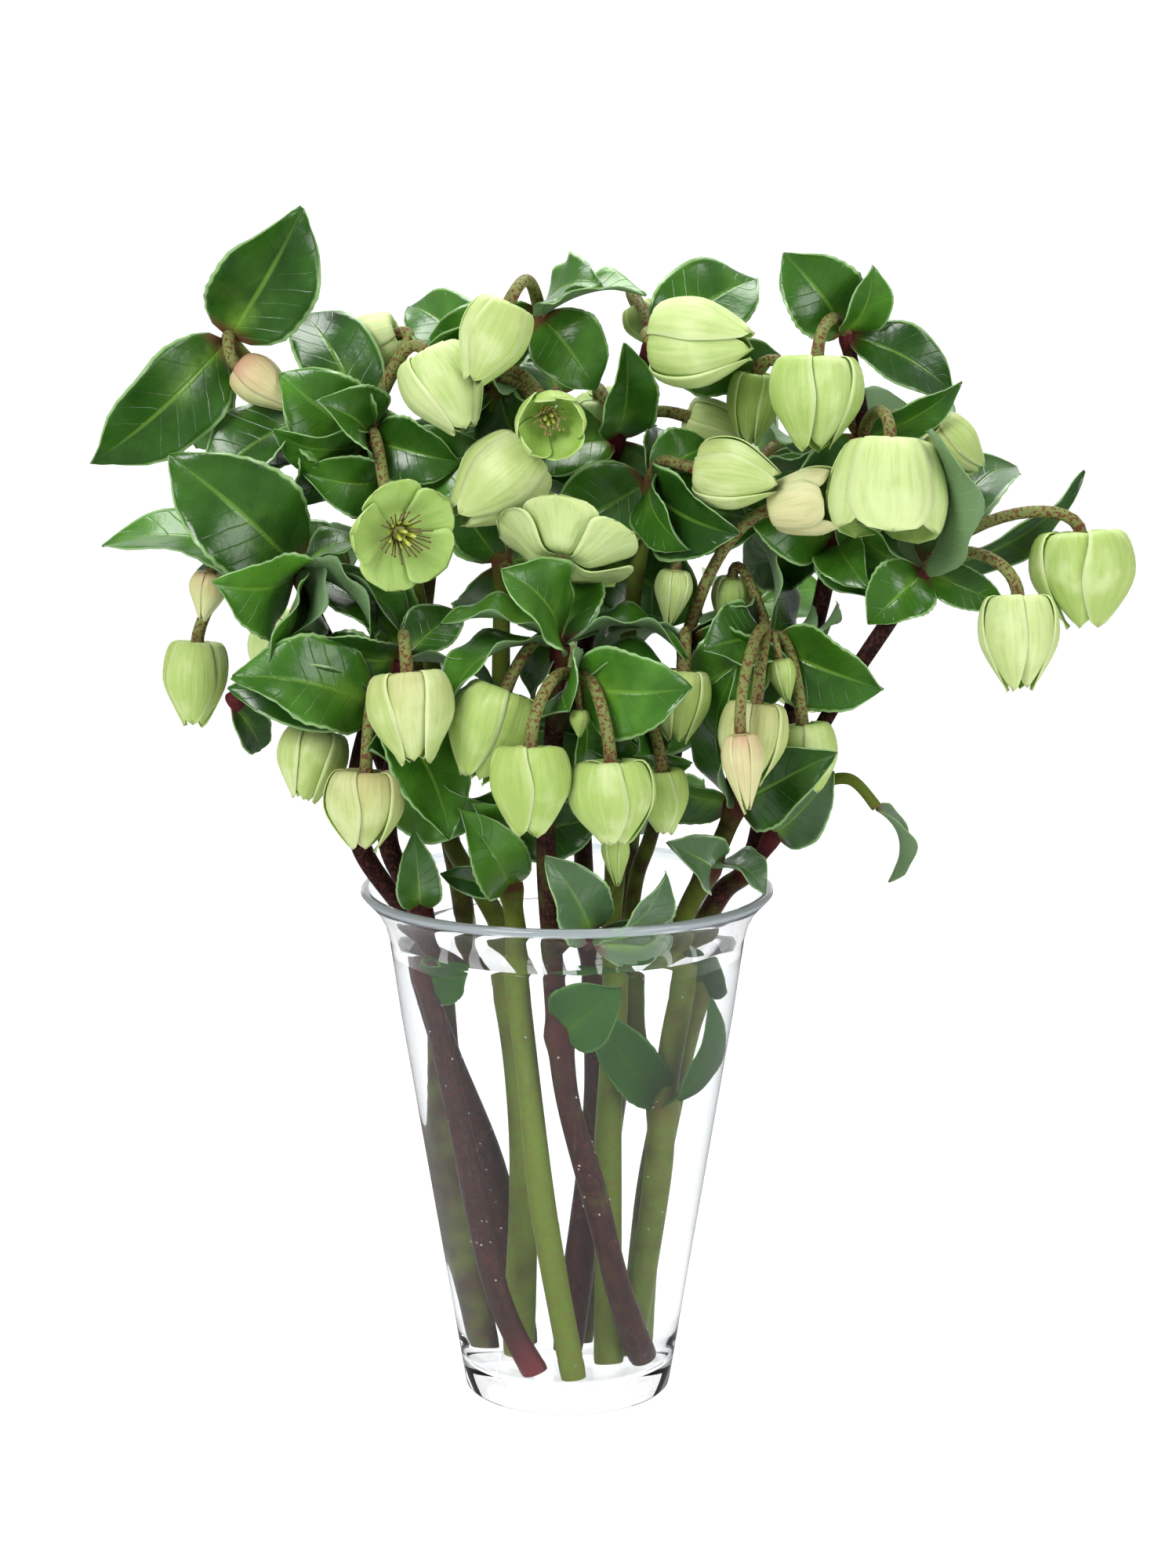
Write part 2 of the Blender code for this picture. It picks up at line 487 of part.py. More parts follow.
def bloom(root, axis, kind, radius, length, spin):
    """Five sepals in overlapping layers on a ten-sided receptacle, mouth towards +Z of the axis."""
    turn = frame_along(axis, spin)
    seat = min(3.0, radius * 0.34)
    rise = min(1.3, radius * 0.25)
    thick = min(SEPAL_THICKNESS, 0.5 + radius * 0.06)
    verts = []
    faces = []

    def add(ring_radius, angle, height):
        local = Vector((ring_radius * math.cos(angle), ring_radius * math.sin(angle), height))
        verts.append(root + turn @ local)
        return len(verts) - 1

    rim = []
    for number in range(SEPALS):
        middle = math.tau * number / SEPALS
        for offset in (-RECEPTACLE_HALF_ANGLE, RECEPTACLE_HALF_ANGLE):
            angle = middle + math.radians(offset)
            rim.append((add(seat, angle, 0.0), add(seat, angle, rise)))
    back = [low for low, high in rim]
    front = [high for low, high in rim]
    faces.append(back[::-1])
    faces.append(front)
    sections = BLOOM_KINDS[kind]
    profile = [(seat, rise * 0.5)] + [(share * radius, height * length) for share, height, span in sections]
    for number in range(SEPALS):
        middle = math.tau * number / SEPALS
        low_left, high_left = rim[number * 2]
        low_right, high_right = rim[number * 2 + 1]
        after_high = rim[(number * 2 + 2) % len(rim)][1]
        after_low = rim[(number * 2 + 2) % len(rim)][0]
        faces.append([low_right, after_low, after_high, high_right])
        own = SEPAL_ORDER[number]
        left_over = own < SEPAL_ORDER[(number - 1) % SEPALS]
        right_over = own < SEPAL_ORDER[(number + 1) % SEPALS]
        ring = [low_left, low_right, high_right, high_left]
        for place in (1, 2):
            before = profile[place - 1]
            here = profile[place]
            after = profile[place + 1]
            run = Vector((after[0] - before[0], after[1] - before[1])).normalized()
            out = Vector((run.y, -run.x))
            span = math.radians(sections[place - 1][2])
            left_shift = OVER_LIFT if left_over else -UNDER_TUCK
            right_shift = OVER_LIFT if right_over else -UNDER_TUCK
            left = (here[0] + out.x * left_shift * radius, here[1] + out.y * left_shift * radius)
            right = (here[0] + out.x * right_shift * radius, here[1] + out.y * right_shift * radius)
            following = [
                add(left[0], middle - span, left[1]),
                add(here[0] + out.x * thick * 0.5, middle, here[1] + out.y * thick * 0.5),
                add(right[0], middle + span, right[1]),
                add(here[0] - out.x * thick * 0.5, middle, here[1] - out.y * thick * 0.5),
            ]
            for step in range(4):
                a = ring[step]
                b = ring[(step + 1) % 4]
                c = following[(step + 1) % 4]
                d = following[step]
                faces.append([a, b, c])
                faces.append([a, c, d])
            ring = following
        tip = add(profile[3][0], middle, profile[3][1])
        for step in range(4):
            faces.append([ring[step], ring[(step + 1) % 4], tip])
    return verts, faces


def stamens(root, axis, radius, spin):
    """Ring of stamens, each a slim spike with a thicker head."""
    turn = frame_along(axis, spin)
    spikes = []
    for number in range(STAMENS):
        angle = math.tau * number / STAMENS
        lean = 0.55 if number % 2 else 0.34
        foot = Vector((math.cos(angle) * 1.6, math.sin(angle) * 1.6, 0.6))
        head = foot + Vector((math.cos(angle) * lean, math.sin(angle) * lean, 1.0)).normalized() * radius * 0.42
        points = [root + turn @ foot, root + turn @ ((foot + head) * 0.5), root + turn @ head]
        spikes.append(tube(points, [0.5, 0.45, 0.8], 3))
    return spikes


def mesh_from(shapes, name):
    """Mesh in metres of one or more (vertices, faces) shapes, every face turned outward."""
    work = bmesh.new()
    for verts, faces in shapes:
        made = [work.verts.new(vert * MILLIMETRE) for vert in verts]
        for face in faces:
            work.faces.new([made[index] for index in face])
    bmesh.ops.recalc_face_normals(work, faces=work.faces)
    if work.calc_volume(signed=True) < 0.0:
        bmesh.ops.reverse_faces(work, faces=work.faces)
    bmesh.ops.triangulate(work, faces=[face for face in work.faces if len(face.verts) > 3])
    data = bpy.data.meshes.new(name)
    work.to_mesh(data)
    work.free()
    return data


def place_object(name, data):
    made = bpy.data.objects.new(name, data)
    bpy.context.scene.collection.objects.link(made)
    return made


def join(base, shapes, operation):
    """Boolean of the base with all shapes, applied, and the helpers removed."""
    helpers = bpy.data.collections.new(base.name + "_shapes")
    bpy.context.scene.collection.children.link(helpers)
    for index, shape in enumerate(shapes):
        helper = bpy.data.objects.new(base.name + "_shape_" + str(index), mesh_from([shape], "shape"))
        helpers.objects.link(helper)
    step = base.modifiers.new("join", "BOOLEAN")
    step.operation = operation
    step.operand_type = "COLLECTION"
    step.collection = helpers
    step.solver = "MANIFOLD"
    shaped = base.evaluated_get(bpy.context.evaluated_depsgraph_get())
    result = bpy.data.meshes.new_from_object(shaped)
    base.modifiers.remove(step)
    base.data = result
    for helper in list(helpers.objects):
        bpy.data.objects.remove(helper, do_unlink=True)
    bpy.data.collections.remove(helpers)


def drop_scraps(work):
    """Leaves only the largest body of faces that meet along edges."""
    waiting = set(work.faces)
    groups = []
    while waiting:
        stack = [waiting.pop()]
        group = []
        while stack:
            face = stack.pop()
            group.append(face)
            for edge in face.edges:
                for other in edge.link_faces:
                    if other in waiting:
                        waiting.remove(other)
                        stack.append(other)
        groups.append(group)
    groups.sort(key=len, reverse=True)
    for group in groups[1:]:
        bmesh.ops.delete(work, geom=group, context="FACES")


def keep_largest_body(made):
    """Drops loose scraps and sealed hollows, and welds points that lie on one another."""
    work = bmesh.new()
    work.from_mesh(made.data)
    drop_scraps(work)
    bmesh.ops.remove_doubles(work, verts=work.verts, dist=WELD_DISTANCE)
    bmesh.ops.dissolve_degenerate(work, edges=work.edges, dist=WELD_DISTANCE)
    bmesh.ops.triangulate(work, faces=work.faces)
    drop_scraps(work)
    work.to_mesh(made.data)
    work.free()


def finish(made, colour, roughness, transmission=0.0):
    surface = bpy.data.materials.new(made.name + "_surface")
    surface.use_nodes = True
    shader = surface.node_tree.nodes["Principled BSDF"]
    shader.inputs["Base Color"].default_value = (colour[0], colour[1], colour[2], 1.0)
    shader.inputs["Roughness"].default_value = roughness
    shader.inputs["Metallic"].default_value = 0.0
    shader.inputs["Transmission Weight"].default_value = transmission
    surface.diffuse_color = (colour[0], colour[1], colour[2], 1.0)
    made.data.materials.clear()
    made.data.materials.append(surface)
    for face in made.data.polygons:
        face.use_smooth = True


def revolved(profile, sides):
    """Solid of revolution; a profile point on the axis closes the shape."""
    verts = []
    rings = []
    for radius, height in profile:
        if radius == 0.0:
            verts.append(Vector((0.0, 0.0, height)))
            rings.append([len(verts) - 1])
            continue
        ring = []
        for step in range(sides):
            angle = math.tau * step / sides
            verts.append(Vector((radius * math.cos(angle), radius * math.sin(angle), height)))
            ring.append(len(verts) - 1)
        rings.append(ring)
    faces = []
    for low, high in zip(rings, rings[1:]):
        for step in range(sides):
            after = (step + 1) % sides
            if len(low) == 1:
                faces.append([low[0], high[after], high[step]])
            elif len(high) == 1:
                faces.append([low[step], low[after], high[0]])
            else:
                faces.append([low[step], low[after], high[after], high[step]])
    return verts, faces


def tree_of(shape):
    return BVHTree.FromPolygons(shape[0], shape[1], epsilon=0.0)


class Crowd:
    """Everything placed so far, to find out what a new shape would run into."""

    def __init__(self):
        self.members = []

    def add(self, owner, shape):
        self.members.append((owner, tree_of(shape)))

    def hits(self, shape, passing):
        tree = tree_of(shape)
        return [owner for owner, other in self.members if owner not in passing and tree.overlap(other)]

    def crossings(self, shape, owner):
        tree = tree_of(shape)
        return sum(len(tree.overlap(other)) for name, other in self.members if name == owner)


def grown(points_and_radii, extra):
    points, radii, sides = points_and_radii
    return tube(points, [radius + extra for radius in radii], sides)


def owner_of(node):
    for name, lines in STEMS.items():
        for line in lines:
            if node in line[1:]:
                return name
    return ""


crowd = Crowd()
vase_profile = [(0.0, 0.0)] + VASE_OUTSIDE + VASE_LIP + VASE_INSIDE + [(0.0, FLOOR_HEIGHT)]
vase_shape = revolved(vase_profile, VASE_SIDES)
crowd.add("vase", vase_shape)

# Stems and branches
stem_shapes = {}
stem_tubes = {}
for name, lines in STEMS.items():
    stem_shapes[name] = []
    stem_tubes[name] = []
    for number, items in enumerate(lines):
        is_main = number == 0
        line = smooth_line([point_of(item) for item in items], 1 if is_main else 2)
        if is_main:
            lean = (line[1] - line[0]).normalized()
            line[0].z = FOOT_HEIGHT + FOOT_RADIUS * math.sqrt(1.0 - lean.z * lean.z)
        shape = (line, stem_radii(line, is_main), STEM_SIDES if is_main else BRANCH_SIDES)
        stem_tubes[name].append(shape)
        hits = crowd.hits(grown(shape, CLEARANCE), {name})
        if hits:
            print("stem in the way:", name, number, sorted(set(hits)))
    for shape in stem_tubes[name]:
        stem_shapes[name].append(tube(*shape))
        crowd.add(name, stem_shapes[name][-1])

# Blooms, each stepped in depth along the line of sight until it hangs free
bloom_shapes = {}
for number, (name, entry) in enumerate(BLOOMS.items()):
    node, place, heading, kind, radius, length = entry
    owner = owner_of(node)
    axis = Vector((heading[0], heading[2], heading[1])).normalized()
    thin = min(STALK_RADIUS, radius * 0.26)
    chosen = None
    fewest = 99
    for step in DEPTH_STEPS:
        root = seen(deeper(place, step))
        spin = number * SPIN_PER_BLOOM
        wide = bloom(root, axis, kind, radius * 1.03, length * 1.02, spin)
        hits = crowd.hits(wide, set())
        spikes = stamens(root, axis, radius, spin) if kind in OPEN_KINDS else []
        for spike in spikes:
            hits += crowd.hits(spike, set())
        rod = stalk(point_of(node), root, axis, thin)
        hits += crowd.hits(stalk(point_of(node), root, axis, thin + CLEARANCE), {owner})
        if tree_of(rod).overlap(tree_of(bloom(root, axis, kind, radius, length, spin))):
            hits.append(name)
        if len(hits) < fewest:
            fewest = len(hits)
            chosen = (step, root, rod, spikes, sorted(set(hits)))
        if fewest == 0:
            break
    step, root, rod, spikes, hits = chosen
    if hits:
        print("bloom in the way:", name, hits)
    shape = bloom(root, axis, kind, radius, length, spin)
    bloom_shapes[name] = [shape] + spikes
    for piece in bloom_shapes[name]:
        crowd.add(name, piece)
    crowd.add(owner, rod)
    stem_shapes[owner].append(rod)


def far_side_leaves():
    """Further leaves that lean away behind the bunch, drawn with a fixed seed."""
    draw = random.Random(FAR_LEAF_SEED)
    made = []
    for node, count in FAR_SIDE_LEAVES.items():
        start = point_of(node)
        outward = Vector((start.x, start.y + 40.0, 0.0)).normalized()
        for number in range(count):
            side = Vector((outward.y, -outward.x, 0.0)) * draw.uniform(-1.0, 1.0)
            heading = (outward + side + Vector((0.0, 0.0, draw.uniform(-0.55, 0.75)))).normalized()
            heading = Vector((heading.x, abs(heading.y) + 0.15, heading.z)).normalized()
            tip = start + heading * draw.uniform(*FAR_LEAF_LENGTH)
            made.append((node, tip, draw.uniform(*FAR_LEAF_WIDTH), draw.uniform(-60, 60),
                         draw.uniform(0.08, 0.2), draw.uniform(0.2, 0.45), draw.uniform(-30, 40)))
    return made


def filling_leaves():
    """Further leaves that spread and droop round their node, drawn with a fixed seed."""
    draw = random.Random(FILLING_LEAF_SEED)
    made = []
    for node, count in FILLING_LEAVES.items():
        start = point_of(node)
        for number in range(count):
            angle = draw.uniform(0.0, math.tau)
            heading = Vector((math.cos(angle), math.sin(angle) * 0.6, draw.uniform(-0.7, 0.7))).normalized()
            tip = start + heading * draw.uniform(*FILLING_LEAF_LENGTH)
            made.append((node, tip, draw.uniform(*FILLING_LEAF_WIDTH), draw.uniform(-40, 40),
                         draw.uniform(0.1, 0.22), draw.uniform(0.2, 0.4), draw.uniform(-30, 40)))
    return made


# Leaves, each turned or stepped in depth until it lies free of the other nodes
leaf_list = [(node, None, place, width * LEAF_GROWTH, turn, arch, trough, twist)
             for node, place, width, turn, arch, trough, twist in LEAVES]
leaf_list += [(node, tip, None, width, turn, arch, trough, twist)
              for node, tip, width, turn, arch, trough, twist in filling_leaves() + far_side_leaves()]
dropped = 0
leaf_holes = []
for node, tip, place, width, turn, arch, trough, twist in leaf_list:
    owner = owner_of(node)
    start = point_of(node)
    chosen = None
    fewest = 999
    stations = LEAF_STATIONS if place else HIDDEN_LEAF_STATIONS
    for step in DEPTH_STEPS:
        for extra in LEAF_TURNS:
            end = seen(deeper(place, step)) if place else tip + Vector((0.0, step * 0.6, 0.0))
            root = blade_root(start, end)
            wide = blade(root, end, width + 0.6, turn + extra, arch, trough, twist,
                         LEAF_THICKNESS + 0.8, stations)
            if crowd.hits(wide, {owner}):
                continue
            shape = blade(root, end, width, turn + extra, arch, trough, twist, LEAF_THICKNESS, stations)
            cost = crowd.crossings(shape, owner) + abs(step) * COST_PER_STEP + abs(extra) * COST_PER_TURN
            if cost < fewest:
                fewest = cost
                chosen = shape
                room = wide
    if chosen:
        if min(vert.z for vert in room[0]) < WATER_LEVEL:
            leaf_holes.append(room)
        crowd.add(owner, chosen)
        stem_shapes[owner].append(chosen)
    else:
        dropped += 1
        print("leaf left out:", node, place)

# Water with plain holes for the stems
water_profile = [(0.0, FLOOR_HEIGHT + CLEARANCE)]
for radius, height in reversed(VASE_INSIDE[2:]):
    water_profile.append((radius - CLEARANCE, height + CLEARANCE))
water_profile.append((WATER_RADIUS_AT_LEVEL, WATER_LEVEL))
water_profile.append((0.0, WATER_LEVEL))
water = place_object("water", mesh_from([revolved(water_profile, VASE_SIDES)], "water"))
holes = leaf_holes
for name in STEMS:
    for points, radii, sides in stem_tubes[name]:
        if points[0].z < WATER_LEVEL or points[-1].z < WATER_LEVEL:
            line = list(points)
            if line[0].z < 30.0:
                line[0] = line[0] + (line[0] - line[1]).normalized() * 6.0
            holes.append(tube(line, [radius + HOLE_CLEARANCE for radius in radii], sides))
join(water, holes, "DIFFERENCE")

# Stem nodes
for name, shapes in stem_shapes.items():
    made = place_object(name, mesh_from([shapes[0]], name))
    join(made, shapes[1:], "UNION")
    keep_largest_body(made)
    finish(made, (0.16, 0.26, 0.09), 0.5)

# Bloom nodes
for name, shapes in bloom_shapes.items():
    made = place_object(name, mesh_from([shapes[0]], name))
    if len(shapes) > 1:
        join(made, shapes[1:], "UNION")
        keep_largest_body(made)
    finish(made, (0.66, 0.74, 0.45), 0.55)

vase = place_object("vase", mesh_from([vase_shape], "vase"))
finish(vase, (0.92, 0.95, 0.97), 0.05, 1.0)
keep_largest_body(water)
finish(water, (0.85, 0.92, 0.95), 0.05, 1.0)

total = sum(len(face.vertices) - 2 for item in bpy.data.objects for face in item.data.polygons)
print("nodes", len(bpy.data.objects), "triangles", total, "leaves left out", dropped)
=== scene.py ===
# Hellebore bunch in a glass vase: finer stems, leaves, blooms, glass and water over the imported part
import math
import random
import bpy
import numpy as np
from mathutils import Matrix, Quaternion, Vector
from mathutils.kdtree import KDTree


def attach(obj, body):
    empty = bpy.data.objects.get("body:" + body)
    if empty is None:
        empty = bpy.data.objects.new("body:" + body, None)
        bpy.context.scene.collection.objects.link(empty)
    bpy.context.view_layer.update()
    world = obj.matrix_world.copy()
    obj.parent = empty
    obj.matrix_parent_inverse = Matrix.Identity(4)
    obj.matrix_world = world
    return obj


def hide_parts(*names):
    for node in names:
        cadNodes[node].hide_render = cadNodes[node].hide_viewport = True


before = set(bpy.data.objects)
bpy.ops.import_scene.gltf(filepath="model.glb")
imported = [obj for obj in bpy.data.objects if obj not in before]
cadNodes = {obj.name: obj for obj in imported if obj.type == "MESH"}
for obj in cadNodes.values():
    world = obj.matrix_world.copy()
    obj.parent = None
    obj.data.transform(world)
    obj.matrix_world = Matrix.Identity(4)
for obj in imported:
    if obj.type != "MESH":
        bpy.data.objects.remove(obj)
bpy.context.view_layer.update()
print("frame loaded:", len(cadNodes), "nodes")

mm = 0.001  # the tables are in millimetres
eye = Vector((8.0, -1300.0, 484.5))  # where the bunch is looked at from
eyeDistance = 1300.0
rimHeight = 200.0
waterLevel = 180.0

# Places are (across, height, depth) as seen from the eye point
nodePlaces = {
    "left_fork": (-66.7, 239, -18),
    "low_left_node": (-72.7, 269, -30),
    "hanging_stalk_end": (-127, 270, -15),
    "mid_left_node": (-61.8, 287, -25),
    "left_node": (-100.9, 320.4, -15),
    "left_water_node": (-49.4, 165, -15),
    "left_neck_node": (-56.3, 190, -15),
    "bend_node": (-65.6, 355, 4),
    "cup_node": (-74.2, 369.5, 0),
    "dark_leaf_node": (-92.8, 379, 5),
    "tip_left_node": (-125.8, 407, 8),
    "neck_node": (-21.5, 198, -16),
    "green_low_node": (-23.5, 221, -12),
    "open_node": (-24.6, 324, 0),
    "upper_node": (-25.2, 390, 6),
    "top_node": (-9.7, 416, 5),
    "brown_water_node": (-2.7, 142.7, -30),
    "rim_leaf_node": (9.3, 180, -50),
    "centre_node": (-2.6, 292.4, -38),
    "front_node": (3.3, 278, -50),
    "green_node": (18.2, 239, -2),
    "shade_node": (19.7, 267.5, -10),
    "right_mid_node": (31.3, 354.3, 0),
    "inner_node": (18.6, 369.5, 20),
    "top_mid_node": (31.7, 405.9, 10),
    "water_fork": (31.3, 115, 5),
    "tall_stalk_node": (45.1, 293.6, -12),
    "right_neck_node": (54.1, 206, -8),
    "right_low_node": (64.2, 231, -8),
    "red_node": (76.8, 293, -15),
    "right_water_node": (42, 160, 10),
    "right_fork": (69.7, 207.5, 4),
    "arch_foot": (78.3, 219, -4),
    "arch_node": (118, 230, -26),
    "right_stem_node": (100.5, 331.5, 6),
    "right_bloom_node": (110.3, 369.5, 3),
    "top_right_node": (103.8, 408.8, 5),
    "far_right_node": (134.5, 320.4, -20),
    "back_left_low": (-58, 268, 52),
    "back_left_node": (-82, 318, 66),
    "back_left_high": (-46, 362, 62),
    "mid_stalk_node": (12.2, 328.6, 26),
    "back_fork": (28, 240, 54),
    "back_mid_node": (6, 318, 70),
    "back_high_node": (-4, 385, 56),
    "back_right_node": (66, 306, 76),
    "back_right_high": (74, 362, 58),
}
stemLines = {  # the first line is the stem, the others are its branches
    "dark_left_stem": [
        [(-14, 14.5, 24), (-21.5, 84, 20), (-38, 135, 10), (-53.1, 179.7, 0), (-63.8, 192, -5),
         (-78.6, 215, -10), (-80, 242, -22), "low_left_node"],
        ["low_left_node", (-98, 276, -24), (-116, 277, -18), "hanging_stalk_end"],
    ],
    "red_end_stem": [
        [(-11.9, 3.0, -25), (-25.9, 39.2, -23), (-38, 105, -19), "left_water_node", "left_neck_node",
         (-67.9, 215, -18), "left_fork", (-64, 264, -20), "mid_left_node"],
        ["left_fork", (-84, 281, -4), (-94, 302, -8), "left_node"],
    ],
    "green_stem": [
        [(2.3, 3.0, -29), (-8.4, 70, -27), (-13.7, 125.8, -23), (-18.9, 176, -19), "neck_node",
         "green_low_node", (-24.9, 269, -5), "open_node", (-27, 358, 5), "upper_node", "top_node"],
    ],
    "thin_green_stem": [
        [(-16, 12.0, 6), (-14.7, 103.7, 8), (-23.1, 176, 12), (-45.9, 221, 10), (-48.6, 269, 8),
         (-57, 315, 7), "bend_node", "cup_node", "dark_leaf_node", (-110, 392, 8), "tip_left_node"],
    ],
    "brown_stem": [
        [(26.8, 10.0, -9), (18.6, 39, -20), (9, 81, -26), (0.5, 115, -29), "brown_water_node",
         (-5.7, 176, -31), (-8, 221, -33), (-5, 257, -36), "centre_node"],
        [(-5.7, 176, -31), (2, 184, -42), "rim_leaf_node"],
        [(-5, 257, -36), "front_node"],
    ],
    "green_between_stem": [
        [(14.2, 9.0, -8), (13.6, 52, -2), (13.3, 99.6, 2), (15.3, 146, 2), (16.8, 181, 0), (18.3, 206, -1),
         "green_node", "shade_node", (25, 310, -6), "right_mid_node"],
    ],
    "dark_behind_stem": [
        [(0, 13.0, 14), (8.1, 99, 12), (9.5, 146, 16), (6.3, 209, 20), (4.8, 269, 24),
         "mid_stalk_node", "inner_node", "top_mid_node"],
    ],
    "right_green_stem": [
        [(20, 13.0, 6), (28.9, 81, 4), "water_fork", (36.1, 148, 0), (43.8, 184, -4), "right_neck_node",
         "right_low_node", (70.2, 260, -10), "red_node"],
        ["water_fork", (22, 148, 12), (25.8, 198, 16), (31.7, 218, 14), (40.7, 251, 4),
         "tall_stalk_node"],
    ],
    "right_leaning_stem": [
        [(21, 14.5, 18), (27, 90, 18), "right_water_node", (58, 195, 10), "right_fork", (78.2, 241.7, 4),
         (93.6, 299, 6), "right_stem_node", "right_bloom_node", "top_right_node"],
        ["right_fork", "arch_foot", (97, 262, -18), (122, 302.3, -20), "far_right_node"],
        ["arch_foot", (92, 236, -16), (107, 241, -23), "arch_node"],
    ],
    "back_left_stem": [
        [(-26, 15.0, 12), (-34, 90, 26), (-38, 165, 34), (-42, 205, 40), "back_left_low",
         "back_left_node"],
        ["back_left_low", (-52, 318, 62), "back_left_high"],
    ],
    "back_right_stem": [
        [(3, 15.5, 27), (11, 100, 35), (22, 198, 46), "back_fork", (46, 276, 66), "back_right_node",
         "back_right_high"],
        ["back_fork", (14, 280, 64), "back_mid_node", "back_high_node"],
    ],
}
